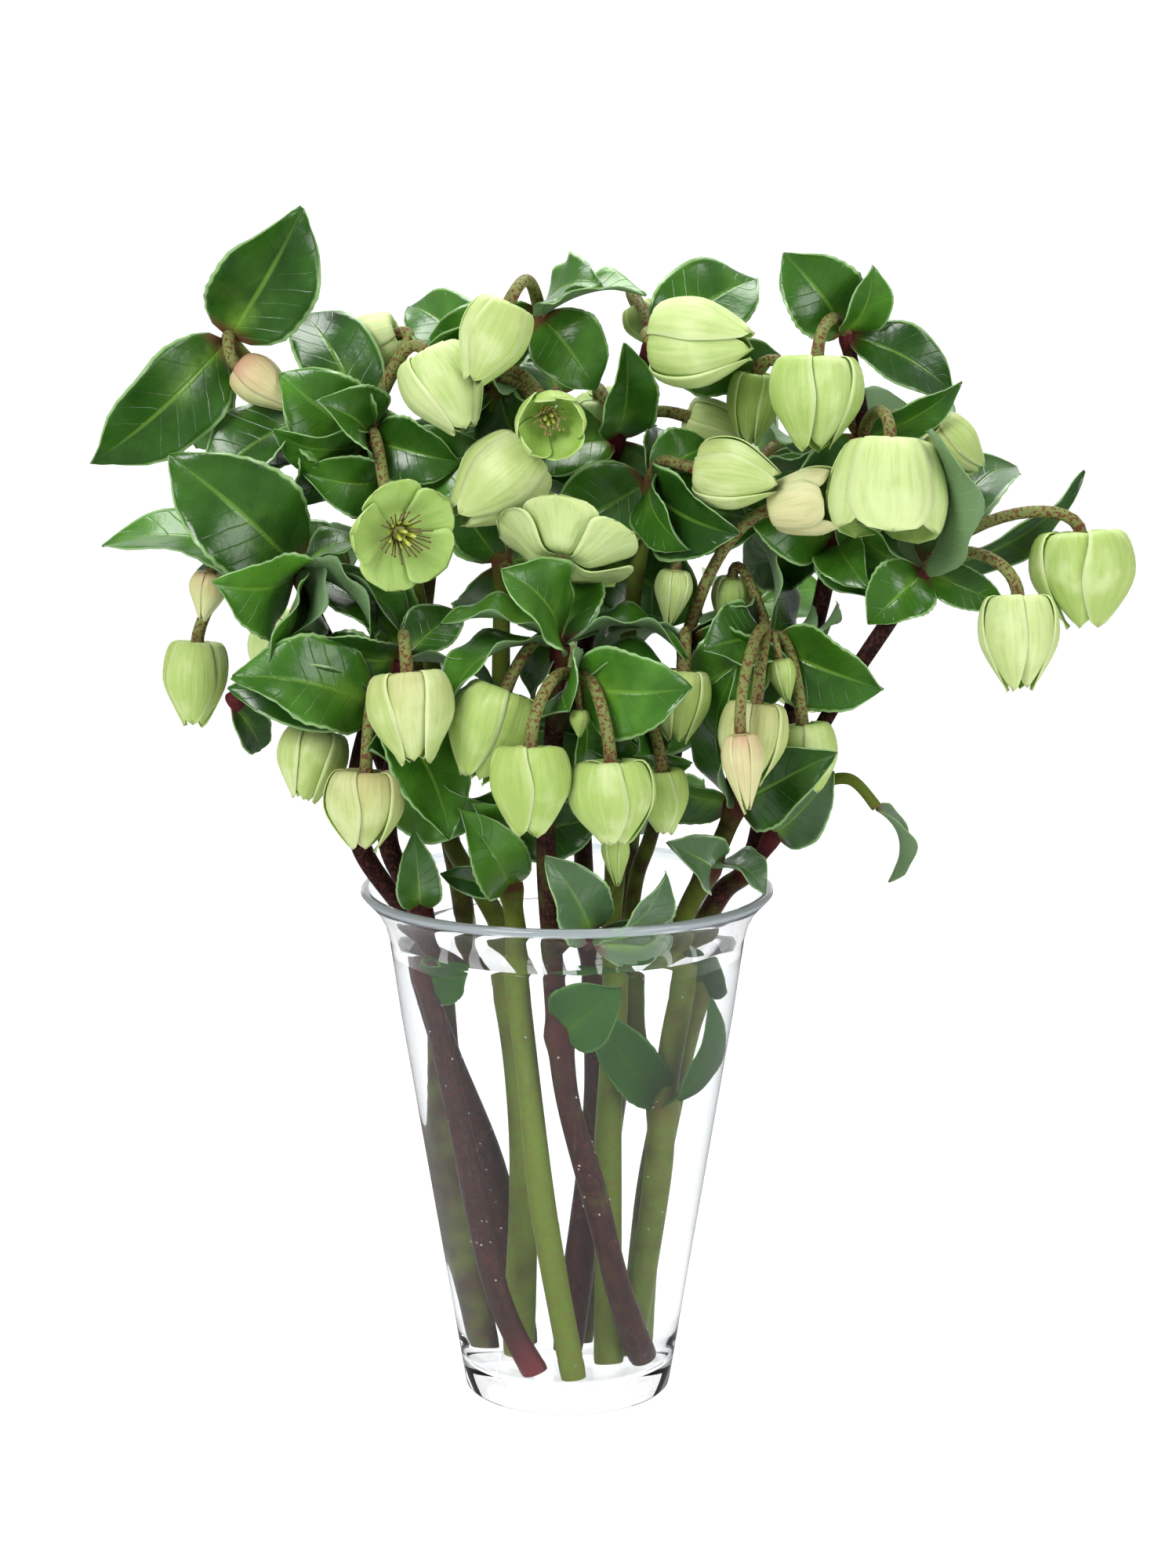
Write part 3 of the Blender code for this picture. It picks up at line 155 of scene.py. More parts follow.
blooms = {  # name: (node, root, heading, kind, radius, length)
    "bloom_01": ("front_node", (16.7, 246.2, -75), (0.05, -1, -0.1), "bell", 15, 27),
    "bloom_02": ("front_node", (-13.9, 251.9, -80), (0.0, -1, -0.15), "bell", 14, 28),
    "bloom_03": ("centre_node", (-23.6, 273.8, -70), (-0.35, -0.9, -0.15), "bell", 15, 31),
    "bloom_04": ("mid_left_node", (-60.2, 280.4, -60), (0.1, -1, -0.15), "bell", 15, 29),
    "bloom_05": ("low_left_node", (-76.5, 242.6, -52), (-0.05, -1, -0.1), "bell", 14, 26),
    "bloom_06": ("low_left_node", (-94.7, 258.5, -38), (-0.2, -0.95, -0.2), "bell", 12.5, 23),
    "bloom_07": ("cup_node", (-63.0, 335.0, -36), (0.4, -0.12, -0.9), "open", 20, 6),
    "bloom_08": ("open_node", (-1.0, 325.0, -42), (0.25, 0.74, 0.62), "open", 26, 9),
    "bloom_09": ("upper_node", (-15.0, 363.0, -28), (-0.72, -0.6, -0.3), "bell", 15.5, 32),
    "bloom_10": ("upper_node", (-6.8, 379.0, -16), (0.1, -0.3, -0.95), "cup", 12.5, 12),
    "bloom_11": ("right_bloom_node", (120.9, 367.7, -38), (-0.05, -1, -0.2), "half", 21.5, 32),
    "bloom_12": ("far_right_node", (193.0, 333.6, -25), (0.05, -1, -0.1), "bell", 18.5, 31),
    "bloom_13": ("far_right_node", (170.0, 309.8, -35), (0.02, -1, -0.15), "bell", 14, 31),
    "bloom_14": ("top_right_node", (93.2, 399.0, -25), (-0.02, -1, -0.1), "bell", 16.5, 30),
    "bloom_15": ("top_mid_node", (35.0, 406.5, -12), (0.94, -0.02, -0.33), "bell", 16, 33),
    "bloom_16": ("right_mid_node", (50.9, 358.7, -26), (0.95, -0.12, -0.3), "bell", 12.5, 27),
    "bloom_17": ("tall_stalk_node", (79.0, 344.4, -32), (0.88, 0.2, -0.4), "half", 12, 23),
    "bloom_18": ("tall_stalk_node", (44.0, 281.6, -38), (-0.1, -1, -0.1), "bell", 10.5, 24),
    "bloom_19": ("red_node", (71.7, 269.0, -50), (-0.1, -1, -0.1), "bell", 12, 27),
    "bloom_20": ("red_node", (89.4, 261.0, -48), (0.1, -1, -0.1), "bell", 11.5, 23),
    "bloom_21": ("cup_node", (-51.2, 400.5, -20), (0.45, -0.85, -0.2), "bell", 14.5, 28),
    "bloom_22": ("top_node", (-22.0, 419.0, -8), (-0.42, -0.9, -0.12), "bell", 12, 28),
    "bloom_23": ("tip_left_node", (-122.0, 397.0, -4), (0.8, -0.55, -0.2), "bud", 9, 26),
    "bloom_24": ("left_node", (-139.6, 292.4, -12), (-0.05, -1, -0.1), "bell", 11.5, 28),
    "bloom_25": ("left_node", (-133.7, 320.0, -15), (-0.2, -1, 0.0), "bud", 7, 17),
    "bloom_26": ("shade_node", (36.1, 243.5, -50), (0.05, -1, 0.0), "bell", 9, 21),
    "bloom_27": ("green_node", (18.2, 219.5, -58), (0.05, -1, 0.0), "bud", 5, 18),
    "bloom_28": ("red_node", (65.8, 258.5, -66), (0.1, -1, 0.0), "bud", 7.5, 27),
    "bloom_29": ("cup_node", (-63.6, 408.7, 16), (-0.9, -0.35, 0.1), "bell", 10.5, 29),
    "bloom_30": ("top_mid_node", (25.9, 420.0, 4), (0.45, -0.85, -0.1), "bud", 8, 18),
    "bloom_31": ("top_mid_node", (52.9, 410.0, 26), (0.5, -0.8, 0.15), "bell", 12, 24),
    "bloom_32": ("right_bloom_node", (70.6, 393.5, 6), (-0.1, -1, 0.0), "bell", 9.5, 24),
    "bloom_33": ("inner_node", (45.9, 378.0, 12), (0.9, -0.35, 0.1), "bell", 9.5, 26),
    "bloom_34": ("right_mid_node", (37.1, 355.0, 20), (0.1, -1, 0.1), "bell", 9, 18),
    "bloom_35": ("right_bloom_node", (138.0, 374.0, 2), (0.7, -0.65, 0.1), "bell", 9.5, 21),
    "bloom_36": ("dark_leaf_node", (-116.6, 369.0, 12), (-0.3, -0.9, 0.1), "bud", 7, 14),
    "bloom_37": ("right_mid_node", (40.8, 321.0, -20), (-0.1, -1, 0.0), "bud", 7, 20),
    "bloom_38": ("red_node", (62.3, 318.4, -5), (-0.1, -1, 0.1), "bud", 7, 22),
    "bloom_39": ("inner_node", (12.2, 385.5, 30), (0.2, -0.9, 0.25), "bell", 11, 22),
    "bloom_40": ("front_node", (4.8, 267.5, -64), (0.0, -1, -0.1), "bud", 3.4, 9),
    "bloom_41": ("red_node", (80.3, 287.0, -36), (0.2, -1, 0.0), "bud", 5, 15),
    "bloom_42": ("back_left_node", (-104, 300, 84), (-0.3, -0.9, 0.35), "bell", 14, 28),
    "bloom_43": ("back_left_high", (-58, 346, 92), (-0.15, -0.9, 0.45), "bell", 15, 29),
    "bloom_44": ("back_mid_node", (4, 296, 100), (0.1, -0.95, 0.35), "bell", 14, 28),
    "bloom_45": ("back_high_node", (-6, 378, 86), (-0.1, -0.85, 0.5), "half", 16, 28),
    "bloom_46": ("back_right_node", (84, 292, 102), (0.3, -0.9, 0.35), "bell", 15, 28),
    "bloom_47": ("back_right_high", (92, 356, 84), (0.35, -0.85, 0.4), "bell", 14, 27),
}
bloomKinds = {  # (share of the radius, share of the length, half a sepal in degrees) at three heights
    "bell": [(0.86, 0.04, 37.5), (1.0, 0.60, 40), (0.36, 1.0, 0)],
    "half": [(0.74, 0.06, 37.5), (1.0, 0.58, 38), (0.90, 1.0, 0)],
    "cup": [(0.62, 0.10, 37.5), (0.98, 0.62, 36), (1.0, 1.15, 0)],
    "open": [(0.45, 0.15, 35.5), (0.86, 0.70, 34), (1.06, 1.0, 0)],
    "bud": [(0.78, 0.10, 38), (0.95, 0.50, 39), (0.12, 1.0, 0)],
}
leaves = [  # (node, tip, width, turn, arch, trough, twist)
    ("tip_left_node", (-97.1, 455, -5), 30, 10, 0.10, 0.30, 30),
    ("tip_left_node", (-177.7, 360.7, -10), 27, -15, 0.14, 0.25, -20),
    ("tip_left_node", (-138.7, 366, 12), 20, 20, 0.10, 0.20, 10),
    ("dark_leaf_node", (-121.9, 360.7, -8), 22, -20, -0.12, 0.30, 20),
    ("left_node", (-148.8, 364.2, -30), 32, 10, 0.16, 0.30, -25),
    ("left_node", (-174.1, 331.5, -15), 32, 0, 0.12, 0.20, 30),
    ("bend_node", (-99.4, 357.8, -12), 18, 30, 0.22, 0.55, 40),
    ("cup_node", (-99.6, 416, 10), 24, -10, 0.30, 0.30, 20),
    ("cup_node", (-93.0, 384, -25), 20, 30, 0.20, 0.60, 10),
    ("cup_node", (-39.0, 360.7, -28), 19, 0, 0.12, 0.35, 45),
    ("top_node", (-51.0, 407, 12), 18, -10, 0.15, 0.25, 10),
    ("top_node", (11.0, 388, -15), 22, 15, 0.18, 0.25, -20),
    ("top_node", (10.1, 406, 6), 14, 0, 0.20, 0.20, 0),
    ("upper_node", (-42.0, 367, -14), 10, 20, 0.10, 0.50, 20),
    ("inner_node", (22.4, 405.0, 0), 18, -25, 0.10, 0.40, 20),
    ("right_mid_node", (33.0, 374.0, -14), 12, 30, 0.10, 0.45, 0),
    ("right_mid_node", (46.0, 328.6, -24), 18, 20, 0.15, 0.30, 30),
    ("right_mid_node", (60.8, 331.5, -10), 18, -15, 0.15, 0.35, -20),
    ("open_node", (-35.0, 345, -18), 15, 10, 0.12, 0.30, 0),
    ("open_node", (-42.0, 350.5, -5), 14, -20, 0.10, 0.30, 10),
    ("left_node", (-142.5, 315.5, 6), 14, 0, 0.10, 0.20, 0),
    ("left_node", (-117.6, 281, -32), 26, 10, 0.12, 0.30, 20),
    ("left_node", (-72.6, 295.4, -38), 27, -10, 0.15, 0.25, -20),
    ("left_node", (-73.2, 331.5, -8), 20, 10, 0.14, 0.20, 10),
    ("mid_left_node", (-92.7, 314.6, -12), 29, 5, 0.14, 0.30, -15),
    ("low_left_node", (-125.4, 281.6, -38), 28, 20, 0.14, 0.25, 20),
    ("low_left_node", (-101.7, 288.5, -16), 18, -20, 0.12, 0.30, 0),
    ("hanging_stalk_end", (-137.5, 233, -18), 13, 25, 0.10, 0.45, 50),
    ("hanging_stalk_end", (-116.8, 252.5, -16), 11, -20, 0.12, 0.40, 10),
    ("low_left_node", (-45.3, 217, -56), 27, 10, 0.16, 0.25, 25),
    ("mid_left_node", (-39.6, 305, -18), 16, 0, 0.12, 0.35, 0),
    ("centre_node", (-47.8, 300, -46), 27, -5, 0.15, 0.25, 15),
    ("centre_node", (-10.0, 263, -58), 16, 20, 0.14, 0.35, 10),
    ("centre_node", (45.4, 290, -66), 30, 0, 0.20, 0.22, -15),
    ("front_node", (-1.5, 236, -66), 22, 15, 0.14, 0.35, 20),
    ("shade_node", (45.9, 245.6, -44), 24, 10, 0.20, 0.30, 15),
    ("right_low_node", (61.2, 282, -42), 20, -15, 0.10, 0.45, 20),
    ("red_node", (46.3, 275, -30), 22, 10, 0.16, 0.30, -20),
    ("red_node", (69.0, 337.4, -28), 27, 0, 0.12, 0.30, 20),
    ("red_node", (93.4, 306.5, -10), 13, 20, 0.10, 0.40, 0),
    ("right_stem_node", (112.6, 311, -8), 20, -10, 0.14, 0.30, 15),
    ("top_right_node", (80.0, 439, -4), 23, 15, 0.16, 0.30, -25),
    ("top_right_node", (113.5, 434, -2), 16, -10, 0.14, 0.35, 0),
    ("top_right_node", (143.3, 387, 8), 18, 0, 0.18, 0.25, 20),
    ("right_bloom_node", (143.4, 385.5, 20), 20, 20, 0.12, 0.25, -10),
    ("right_bloom_node", (147.4, 390.5, -12), 12, 0, 0.10, 0.35, 20),
    ("right_bloom_node", (72.8, 378, 24), 20, 0, 0.14, 0.25, 0),
    ("right_stem_node", (114.0, 313.4, -22), 16, 30, 0.18, 0.40, 10),
    ("far_right_node", (128.4, 347.6, -6), 16, -20, 0.10, 0.40, 10),
    ("far_right_node", (135.8, 374, -26), 28, 15, 0.12, 0.30, 60),
    ("far_right_node", (169.1, 362, -10), 21, -10, 0.14, 0.30, 25),
    ("far_right_node", (194.2, 357.8, -6), 17, 10, 0.12, 0.25, 0),
    ("far_right_node", (113.6, 300.5, -36), 19, 25, 0.28, 0.50, 30),
    ("far_right_node", (165.5, 307.4, -6), 12, 0, 0.12, 0.40, 0),
    ("red_node", (95.8, 270.5, -20), 11, 15, 0.12, 0.35, 0),
    ("arch_foot", (101.4, 243.5, -26), 17, 10, 0.20, 0.35, 20),
    ("arch_node", (104.7, 194, -30), 13, 25, 0.16, 0.45, 30),
    ("arch_node", (114.5, 191.7, -40), 13, 0, 0.14, 0.45, -30),
    ("arch_node", (123.5, 201, -24), 13, -25, 0.16, 0.45, 40),
    ("rim_leaf_node", (-7.1, 210.6, -62), 18, 15, 0.14, 0.35, 15),
    ("rim_leaf_node", (37.8, 204.6, -64), 20, -10, 0.18, 0.30, -15),
    ("rim_leaf_node", (40.0, 186, -38), 17, 10, 0.16, 0.30, 10),
    ("right_neck_node", (37.7, 216.4, -42), 16, 10, 0.20, 0.40, 30),
    ("right_neck_node", (76.0, 196, -34), 16, 15, 0.26, 0.40, 20),
    ("green_low_node", (-36.2, 231, -46), 17, 0, 0.18, 0.45, 10),
    ("neck_node", (-40.0, 228.5, -50), 18, 10, 0.12, 0.35, 20),
    ("left_neck_node", (-57.9, 221, -44), 13, 0, 0.12, 0.35, 0),
    ("neck_node", (-48.5, 204, -34), 9, 0, 0.10, 0.35, 0),
    ("left_water_node", (-36.0, 166, -36), 14, 10, 0.12, 0.30, 10),
    ("brown_water_node", (19.0, 160, -42), 20, 0, 0.16, 0.25, 10),
    ("water_fork", (5.4, 155, -10), 15, 10, 0.10, 0.30, 10),
    ("water_fork", (52.0, 156, -16), 16, -10, 0.12, 0.25, 0),
    ("right_water_node", (49.0, 172, -6), 14, 10, 0.10, 0.30, 0),
]
fillingCounts = {  # how many filling leaves grow from a node
    "left_node": 3, "low_left_node": 2, "mid_left_node": 3, "bend_node": 4, "cup_node": 3,
    "dark_leaf_node": 3, "open_node": 4, "upper_node": 4, "top_node": 3, "centre_node": 3,
    "front_node": 3, "shade_node": 4, "right_mid_node": 4, "mid_stalk_node": 4, "inner_node": 3,
    "top_mid_node": 3, "tall_stalk_node": 4, "red_node": 3, "right_low_node": 2,
    "right_stem_node": 3, "right_bloom_node": 2, "green_low_node": 2, "back_mid_node": 1,
    "left_fork": 2, "green_node": 2, "far_right_node": 1,
}
farSideCounts = {  # how many leaves of the far side grow from a node
    "low_left_node": 1, "left_node": 1, "bend_node": 1, "upper_node": 1, "right_mid_node": 1,
    "tall_stalk_node": 1, "red_node": 1, "right_bloom_node": 1, "far_right_node": 1,
    "back_left_low": 2, "back_left_node": 3, "back_left_high": 3, "back_fork": 2,
    "back_mid_node": 3, "back_high_node": 3, "back_right_node": 3, "back_right_high": 3,
}


# Places and lines, in millimetres
def seen(place):
    across, height, depth = place
    front = Vector((across, 0.0, height))
    return eye + (front - eye) * ((eyeDistance + depth) / eyeDistance)


def pointOf(item):
    return seen(nodePlaces[item]) if isinstance(item, str) else seen(item)


def between(before, start, end, after, t):  # smooth curve from start to end, led by the outer points
    return 0.5 * (2 * start + (end - before) * t
                  + (2 * before - 5 * start + 4 * end - after) * t * t
                  + (3 * start - before - 3 * end + after) * t * t * t)


def smoothLine(points, perSpan):
    line = []
    last = len(points) - 1
    for index in range(last):
        before = points[max(index - 1, 0)]
        start = points[index]
        end = points[index + 1]
        after = points[min(index + 2, last)]
        line += [between(before, start, end, after, step / perSpan) for step in range(perSpan)]
    line.append(points[last].copy())
    return line


def smoothStep(low, high, value):
    share = np.clip((value - low) / (high - low), 0.0, 1.0)
    return share * share * (3.0 - 2.0 * share)


def ownerOf(node):
    for name, lines in stemLines.items():
        for line in lines:
            if node in line[1:]:
                return name
    return ""


def cadTree(name):
    points = [v.co / mm for v in cadNodes[name].data.vertices]
    tree = KDTree(len(points))
    for index, point in enumerate(points):
        tree.insert(point, index)
    tree.balance()
    return tree


def missBy(tree, points):  # mean distance from the points to the nearest corner of the node
    return sum(tree.find(point)[2] for point in points) / len(points)


# Meshes
def linked(name, data):
    made = bpy.data.objects.new(name, data)
    bpy.context.scene.collection.objects.link(made)
    return made


def signedVolume(verts, faces):
    total = 0.0
    for face in faces:
        first = verts[face[0]]
        for k in range(1, len(face) - 1):
            total += float(np.dot(first, np.cross(verts[face[k]], verts[face[k + 1]])))
    return total


def sheetFaces(rows, cols):  # closed skin round an upper and a lower grid
    count = rows * cols
    faces = []
    for r in range(rows - 1):
        for c in range(cols - 1):
            a = r * cols + c
            faces.append((a, a + 1, a + cols + 1, a + cols))
            faces.append((count + a + cols, count + a + cols + 1, count + a + 1, count + a))
    border = list(range(cols))
    border += [r * cols + cols - 1 for r in range(1, rows)]
    border += [(rows - 1) * cols + c for c in range(cols - 2, -1, -1)]
    border += [r * cols for r in range(rows - 2, 0, -1)]
    for k, a in enumerate(border):
        b = border[(k + 1) % len(border)]
        faces.append((b, a, a + count, b + count))
    return faces


class Gather:
    # collects closed shapes with their per-corner marks, and makes one object of them
    def __init__(self):
        self.verts = []
        self.faces = []
        self.marks = {}
        self.count = 0

    def add(self, verts, faces, **marks):
        verts = np.asarray(verts, float)
        if signedVolume(verts - verts.mean(0), faces) < 0:
            faces = [face[::-1] for face in faces]
        self.faces += [tuple(int(i) + self.count for i in face) for face in faces]
        self.verts.append(verts)
        self.count += len(verts)
        for key, value in marks.items():
            self.marks.setdefault(key, []).append(np.asarray(value, float))

    def build(self, name, material):
        mesh = bpy.data.meshes.new(name)
        verts = np.concatenate(self.verts) * mm
        mesh.from_pydata(verts.tolist(), [], self.faces)
        corners = np.zeros(len(mesh.loops), int)
        mesh.loops.foreach_get("vertex_index", corners)
        for key, parts in self.marks.items():
            values = np.concatenate(parts)
            layer = mesh.uv_layers.new(name=key)
            layer.data.foreach_set("uv", values[corners].astype(np.float32).ravel())
        mesh.polygons.foreach_set("use_smooth", [True] * len(mesh.polygons))
        mesh.materials.append(material)
        mesh.update()
        return linked(name, mesh)


def fit(piece, slot, *nodes):
    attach(piece, "root")
    if nodes:
        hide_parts(*nodes)
    return piece


def evaluated(piece):  # plain mesh of what the modifiers make
    bpy.context.view_layer.update()
    graph = bpy.context.evaluated_depsgraph_get()
    mesh = bpy.data.meshes.new_from_object(piece.evaluated_get(graph), depsgraph=graph)
    piece.modifiers.clear()
    old = piece.data
    piece.data = mesh
    mesh.name = piece.name
    bpy.data.meshes.remove(old)
    return piece


# Shader and geometry trees
class Wire:
    # a socket that adds, multiplies and so on
    def __init__(self, maker, socket):
        self.maker = maker
        self.socket = socket

    def __add__(self, other):
        return self.maker.maths("ADD", self, other)

    def __radd__(self, other):
        return self.maker.maths("ADD", other, self)

    def __sub__(self, other):
        return self.maker.maths("SUBTRACT", self, other)

    def __rsub__(self, other):
        return self.maker.maths("SUBTRACT", other, self)

    def __mul__(self, other):
        return self.maker.maths("MULTIPLY", self, other)

    def __rmul__(self, other):
        return self.maker.maths("MULTIPLY", other, self)

    def __abs__(self):
        return self.maker.maths("ABSOLUTE", self)


class Maker:
    def __init__(self, tree):
        self.tree = tree

    def node(self, kind, settings=None, sockets=None, out=0):
        made = self.tree.nodes.new(kind)
        for key, value in (settings or {}).items():
            setattr(made, key, value)
        for key, value in (sockets or {}).items():
            self.feed(made.inputs[key], value)
        return Wire(self, made.outputs[out])

    def feed(self, socket, value):
        if isinstance(value, Wire):
            self.tree.links.new(value.socket, socket)
        else:
            socket.default_value = value

    def maths(self, operation, first, second=0.0):
        return self.node("ShaderNodeMath", {"operation": operation}, {0: first, 1: second})

    def sine(self, value):
        return self.maths("SINE", value)

    def mix(self, factor, first, second):
        return self.node("ShaderNodeMix", {"data_type": "RGBA"}, {0: factor, 6: first, 7: second}, 2)

    def ease(self, value, low, high, start=0.0, end=1.0):
        return self.node("ShaderNodeMapRange", {"interpolation_type": "SMOOTHSTEP"},
                         {0: value, 1: low, 2: high, 3: start, 4: end})

    def noise(self, scale, detail=3.0, where=None):
        if where is None:
            where = self.node("ShaderNodeTexCoord", out=3)
        return self.node("ShaderNodeTexNoise", {}, {"Vector": where, "Scale": scale, "Detail": detail})

    def marks(self, name):  # the two numbers kept in one of the piece's own maps
        uv = self.node("ShaderNodeUVMap", {"uv_map": name})
        parts = self.node("ShaderNodeSeparateXYZ", {}, {0: uv})
        return parts, Wire(self, parts.socket.node.outputs[1])


def newMaterial(name, settings):
    material = bpy.data.materials.new(name)
    material.use_nodes = True
    maker = Maker(material.node_tree)
    shader = material.node_tree.nodes["Principled BSDF"]
    for key, value in settings.items():
        shader.inputs[key].default_value = value
    return material, maker, shader


def rgb(red, green, blue):
    return (red, green, blue, 1.0)


# Leaf finish
leafLook = {
    "deep": rgb(0.013, 0.060, 0.004),
    "mid": rgb(0.034, 0.126, 0.008),
    "fresh": rgb(0.085, 0.260, 0.018),
    "dull": rgb(0.075, 0.150, 0.060),
    "streak": rgb(0.200, 0.400, 0.045),
    "margin": rgb(0.300, 0.500, 0.190),
    "redBase": rgb(0.150, 0.035, 0.030),
    "underside": rgb(0.130, 0.230, 0.095),
    "gloss": 0.29,
    "undersideGloss": 0.62,
    "sideVeins": 9.0,
    "blotches": 60.0,
    "wobble": 90.0,
    "grain": 420.0,
    "relief": (0.4, 0.0008),
}


def relief(m, shader, depth, height):  # low bumps: depth is (strength, distance)
    bump = m.node("ShaderNodeBump", {}, {"Strength": depth[0], "Distance": depth[1], "Height": height})
    m.feed(shader.inputs["Normal"], bump)


def leafMaterial(name, look, specular, shade):
    material, m, shader = newMaterial(name, {"Specular IOR Level": specular})
    across, along = m.marks("spread")
    under, tint = m.marks("marks")
    edge = abs(across - 0.5) * 2.0
    blotch = m.noise(look["blotches"], 4.0)
    level = tint + (blotch - 0.5) * 0.9
    green = m.mix(m.ease(level, 0.0, 0.5), look["deep"], look["mid"])
    green = m.mix(m.ease(level, 0.42, 0.9), green, look["fresh"])
    green = m.mix(m.ease(tint, 0.9, 1.0), green, look["dull"])
    wobble = m.noise(look["wobble"], 2.0) * 0.35
    veins = abs(m.sine((along * look["sideVeins"] + edge * -1.7 + wobble) * math.pi))
    vein = m.ease(veins, 0.0, 0.16, 1.0, 0.0) * m.ease(edge, 0.75, 1.0, 1.0, 0.0)
    streak = m.ease(edge, 0.0, 0.5, 1.0, 0.0) * m.ease(along, 0.08, 0.62, 1.0, 0.0)
    green = m.mix(streak * m.ease(blotch, 0.38, 0.62, 0.05, 0.75), green, look["streak"])
    rib = m.ease(edge, 0.015, 0.075, 1.0, 0.0) * m.ease(along, 0.5, 1.0, 1.0, 0.25)
    green = m.mix(rib * 0.45, green, look["streak"])
    green = m.mix(m.ease(edge, 0.91, 0.97) * 0.85, green, look["margin"])
    green = m.mix(m.ease(along, 0.02, 0.13, 0.8, 0.0), green, look["redBase"])
    back = m.mix(vein * 0.3 + rib * 0.4, look["underside"], look["margin"])
    # painted shade: the colour is mixed towards the deep green by the shade share
    green = m.mix(shade, m.mix(under, green, back), look["deep"])
    m.feed(shader.inputs["Base Color"], green)
    roughness = m.ease(under, 0.0, 1.0, look["gloss"], look["undersideGloss"])
    m.feed(shader.inputs["Roughness"], roughness + (blotch - 0.5) * 0.12)
    height = vein * -0.5 - rib * 0.9 + m.noise(look["grain"], 2.0) * 0.3 + blotch * 2.2
    relief(m, shader, look["relief"], height)
    return material


# Sepal finish
sepalLook = {
    # body is the sepal green as seen in shade and light the same green as seen lit: lightness between them is
    # painted light and shade, mixed with random tone
    "body": rgb(0.340, 0.490, 0.115),
    "light": rgb(0.530, 0.650, 0.270),
    "green": rgb(0.190, 0.370, 0.045),
    "cream": rgb(0.700, 0.660, 0.360),
    "edge": rgb(0.670, 0.780, 0.420),
    "blush": rgb(0.480, 0.140, 0.140),
    "inside": rgb(0.300, 0.500, 0.080),
    "blotches": 70.0,
    "grain": 500.0,
    "fibres": (16.0, 3.0, 40.0),  # across, along, and from one sepal to the next
    "relief": (0.3, 0.0005),
}


def sepalMaterial(look):
    material, m, shader = newMaterial("sepal", {"Roughness": 0.5, "Specular IOR Level": 0.35,
                                                "Subsurface Weight": 0.22,
                                                "Subsurface Radius": (0.6, 1.0, 0.25),
                                                "Subsurface Scale": 0.002})
    across, along = m.marks("spread")
    inner, tint = m.marks("marks")
    blush, fade = m.marks("blush")
    edge = abs(across - 0.5) * 2.0
    blotch = m.noise(look["blotches"], 4.0)
    grain = m.noise(look["grain"], 2.0)
    # tint is the sepal's lightness: painted light and shade, mottled at random
    green = m.mix(m.ease(tint + (blotch - 0.5) * 0.7, 0.1, 0.9), look["body"], look["light"])
    green = m.mix(m.ease(fade, 0.0, 1.0), green, look["cream"])
    green = m.mix(m.ease(along, 0.0, 0.32, 0.75, 0.0), green, look["green"])
    places = [value * scale for value, scale in zip((across, along, tint), look["fibres"])]
    fibre = m.noise(1.0, 5.0, m.node("ShaderNodeCombineXYZ", {}, dict(enumerate(places))))
    vein = m.ease(fibre, 0.36, 0.52, 1.0, 0.0) * m.ease(along, 0.7, 1.0, 1.0, 0.3)
    green = m.mix(vein * 0.22, green, look["green"])
    green = m.mix(m.ease(fibre, 0.55, 0.7) * 0.16, green, look["edge"])
    green = m.mix(m.ease(blotch, 0.48, 0.68) * 0.35, green, look["edge"])
    green = m.mix(m.ease(edge, 0.80, 0.98) * 0.6, green, look["edge"])
    pink = blush * m.ease(along + (blotch - 0.5) * 0.5, 0.15, 0.85, 1.0, 0.25)
    green = m.mix(pink, green, look["blush"])
    green = m.mix(inner * 0.6, green, look["inside"])
    m.feed(shader.inputs["Base Color"], green)
    relief(m, shader, look["relief"], vein * -0.5 + grain * 0.3 + blotch * 1.6)
    return material


# Stem finish
stemLook = {
    "green": rgb(0.090, 0.140, 0.016),
    "brown": rgb(0.017, 0.006, 0.005),
    "node": rgb(0.110, 0.016, 0.020),
    "stalk": rgb(0.190, 0.230, 0.070),
    "fleck": rgb(0.140, 0.038, 0.028),
    "bloomDust": rgb(0.230, 0.240, 0.190),
    "blotches": 90.0,
    "flecks": 800.0,
    "grain": 650.0,
    "grainScale": (1.0, 1.0, 0.12),  # drawn out along the stem
    "relief": (0.4, 0.0006),
}


def stemMaterial(look):
    material, m, shader = newMaterial("stem", {"Specular IOR Level": 0.08})
    tone, red, stalk = [m.node("ShaderNodeAttribute", {"attribute_name": name}, out=2)
                        for name in ("tone", "nodeRed", "stalk")]
    blotch = m.noise(look["blotches"], 4.0)
    fleck = m.noise(look["flecks"], 2.0)
    long = m.node("ShaderNodeMapping", {}, {"Vector": m.node("ShaderNodeTexCoord", out=3),
                                           "Scale": look["grainScale"]})
    grain = m.noise(look["grain"], 3.0, long)
    body = m.mix(m.ease(tone + (blotch - 0.5) * 0.9, 0.2, 0.8), look["green"], look["brown"])
    body = m.mix(m.ease(grain, 0.6, 0.8) * 0.12, body, look["bloomDust"])
    body = m.mix(stalk, body, look["stalk"])
    body = m.mix(m.ease(fleck, 0.5, 0.58) * (stalk * 0.6 + 0.3), body, look["fleck"])
    body = m.mix(red, body, look["node"])
    m.feed(shader.inputs["Base Color"], body)
    m.feed(shader.inputs["Roughness"], m.ease(grain, 0.3, 0.8, 0.42, 0.6))
    relief(m, shader, look["relief"], grain * 0.15 + blotch * 1.0)
    return material


def plainMaterial(name, colour, roughness):
    return newMaterial(name, {"Base Color": colour, "Roughness": roughness})[0]


def clearMaterial(name, colour, roughness, bending, clearness=1.0):
    return newMaterial(name, {"Base Color": colour, "Roughness": roughness, "IOR": bending,
                              "Transmission Weight": clearness})[0]


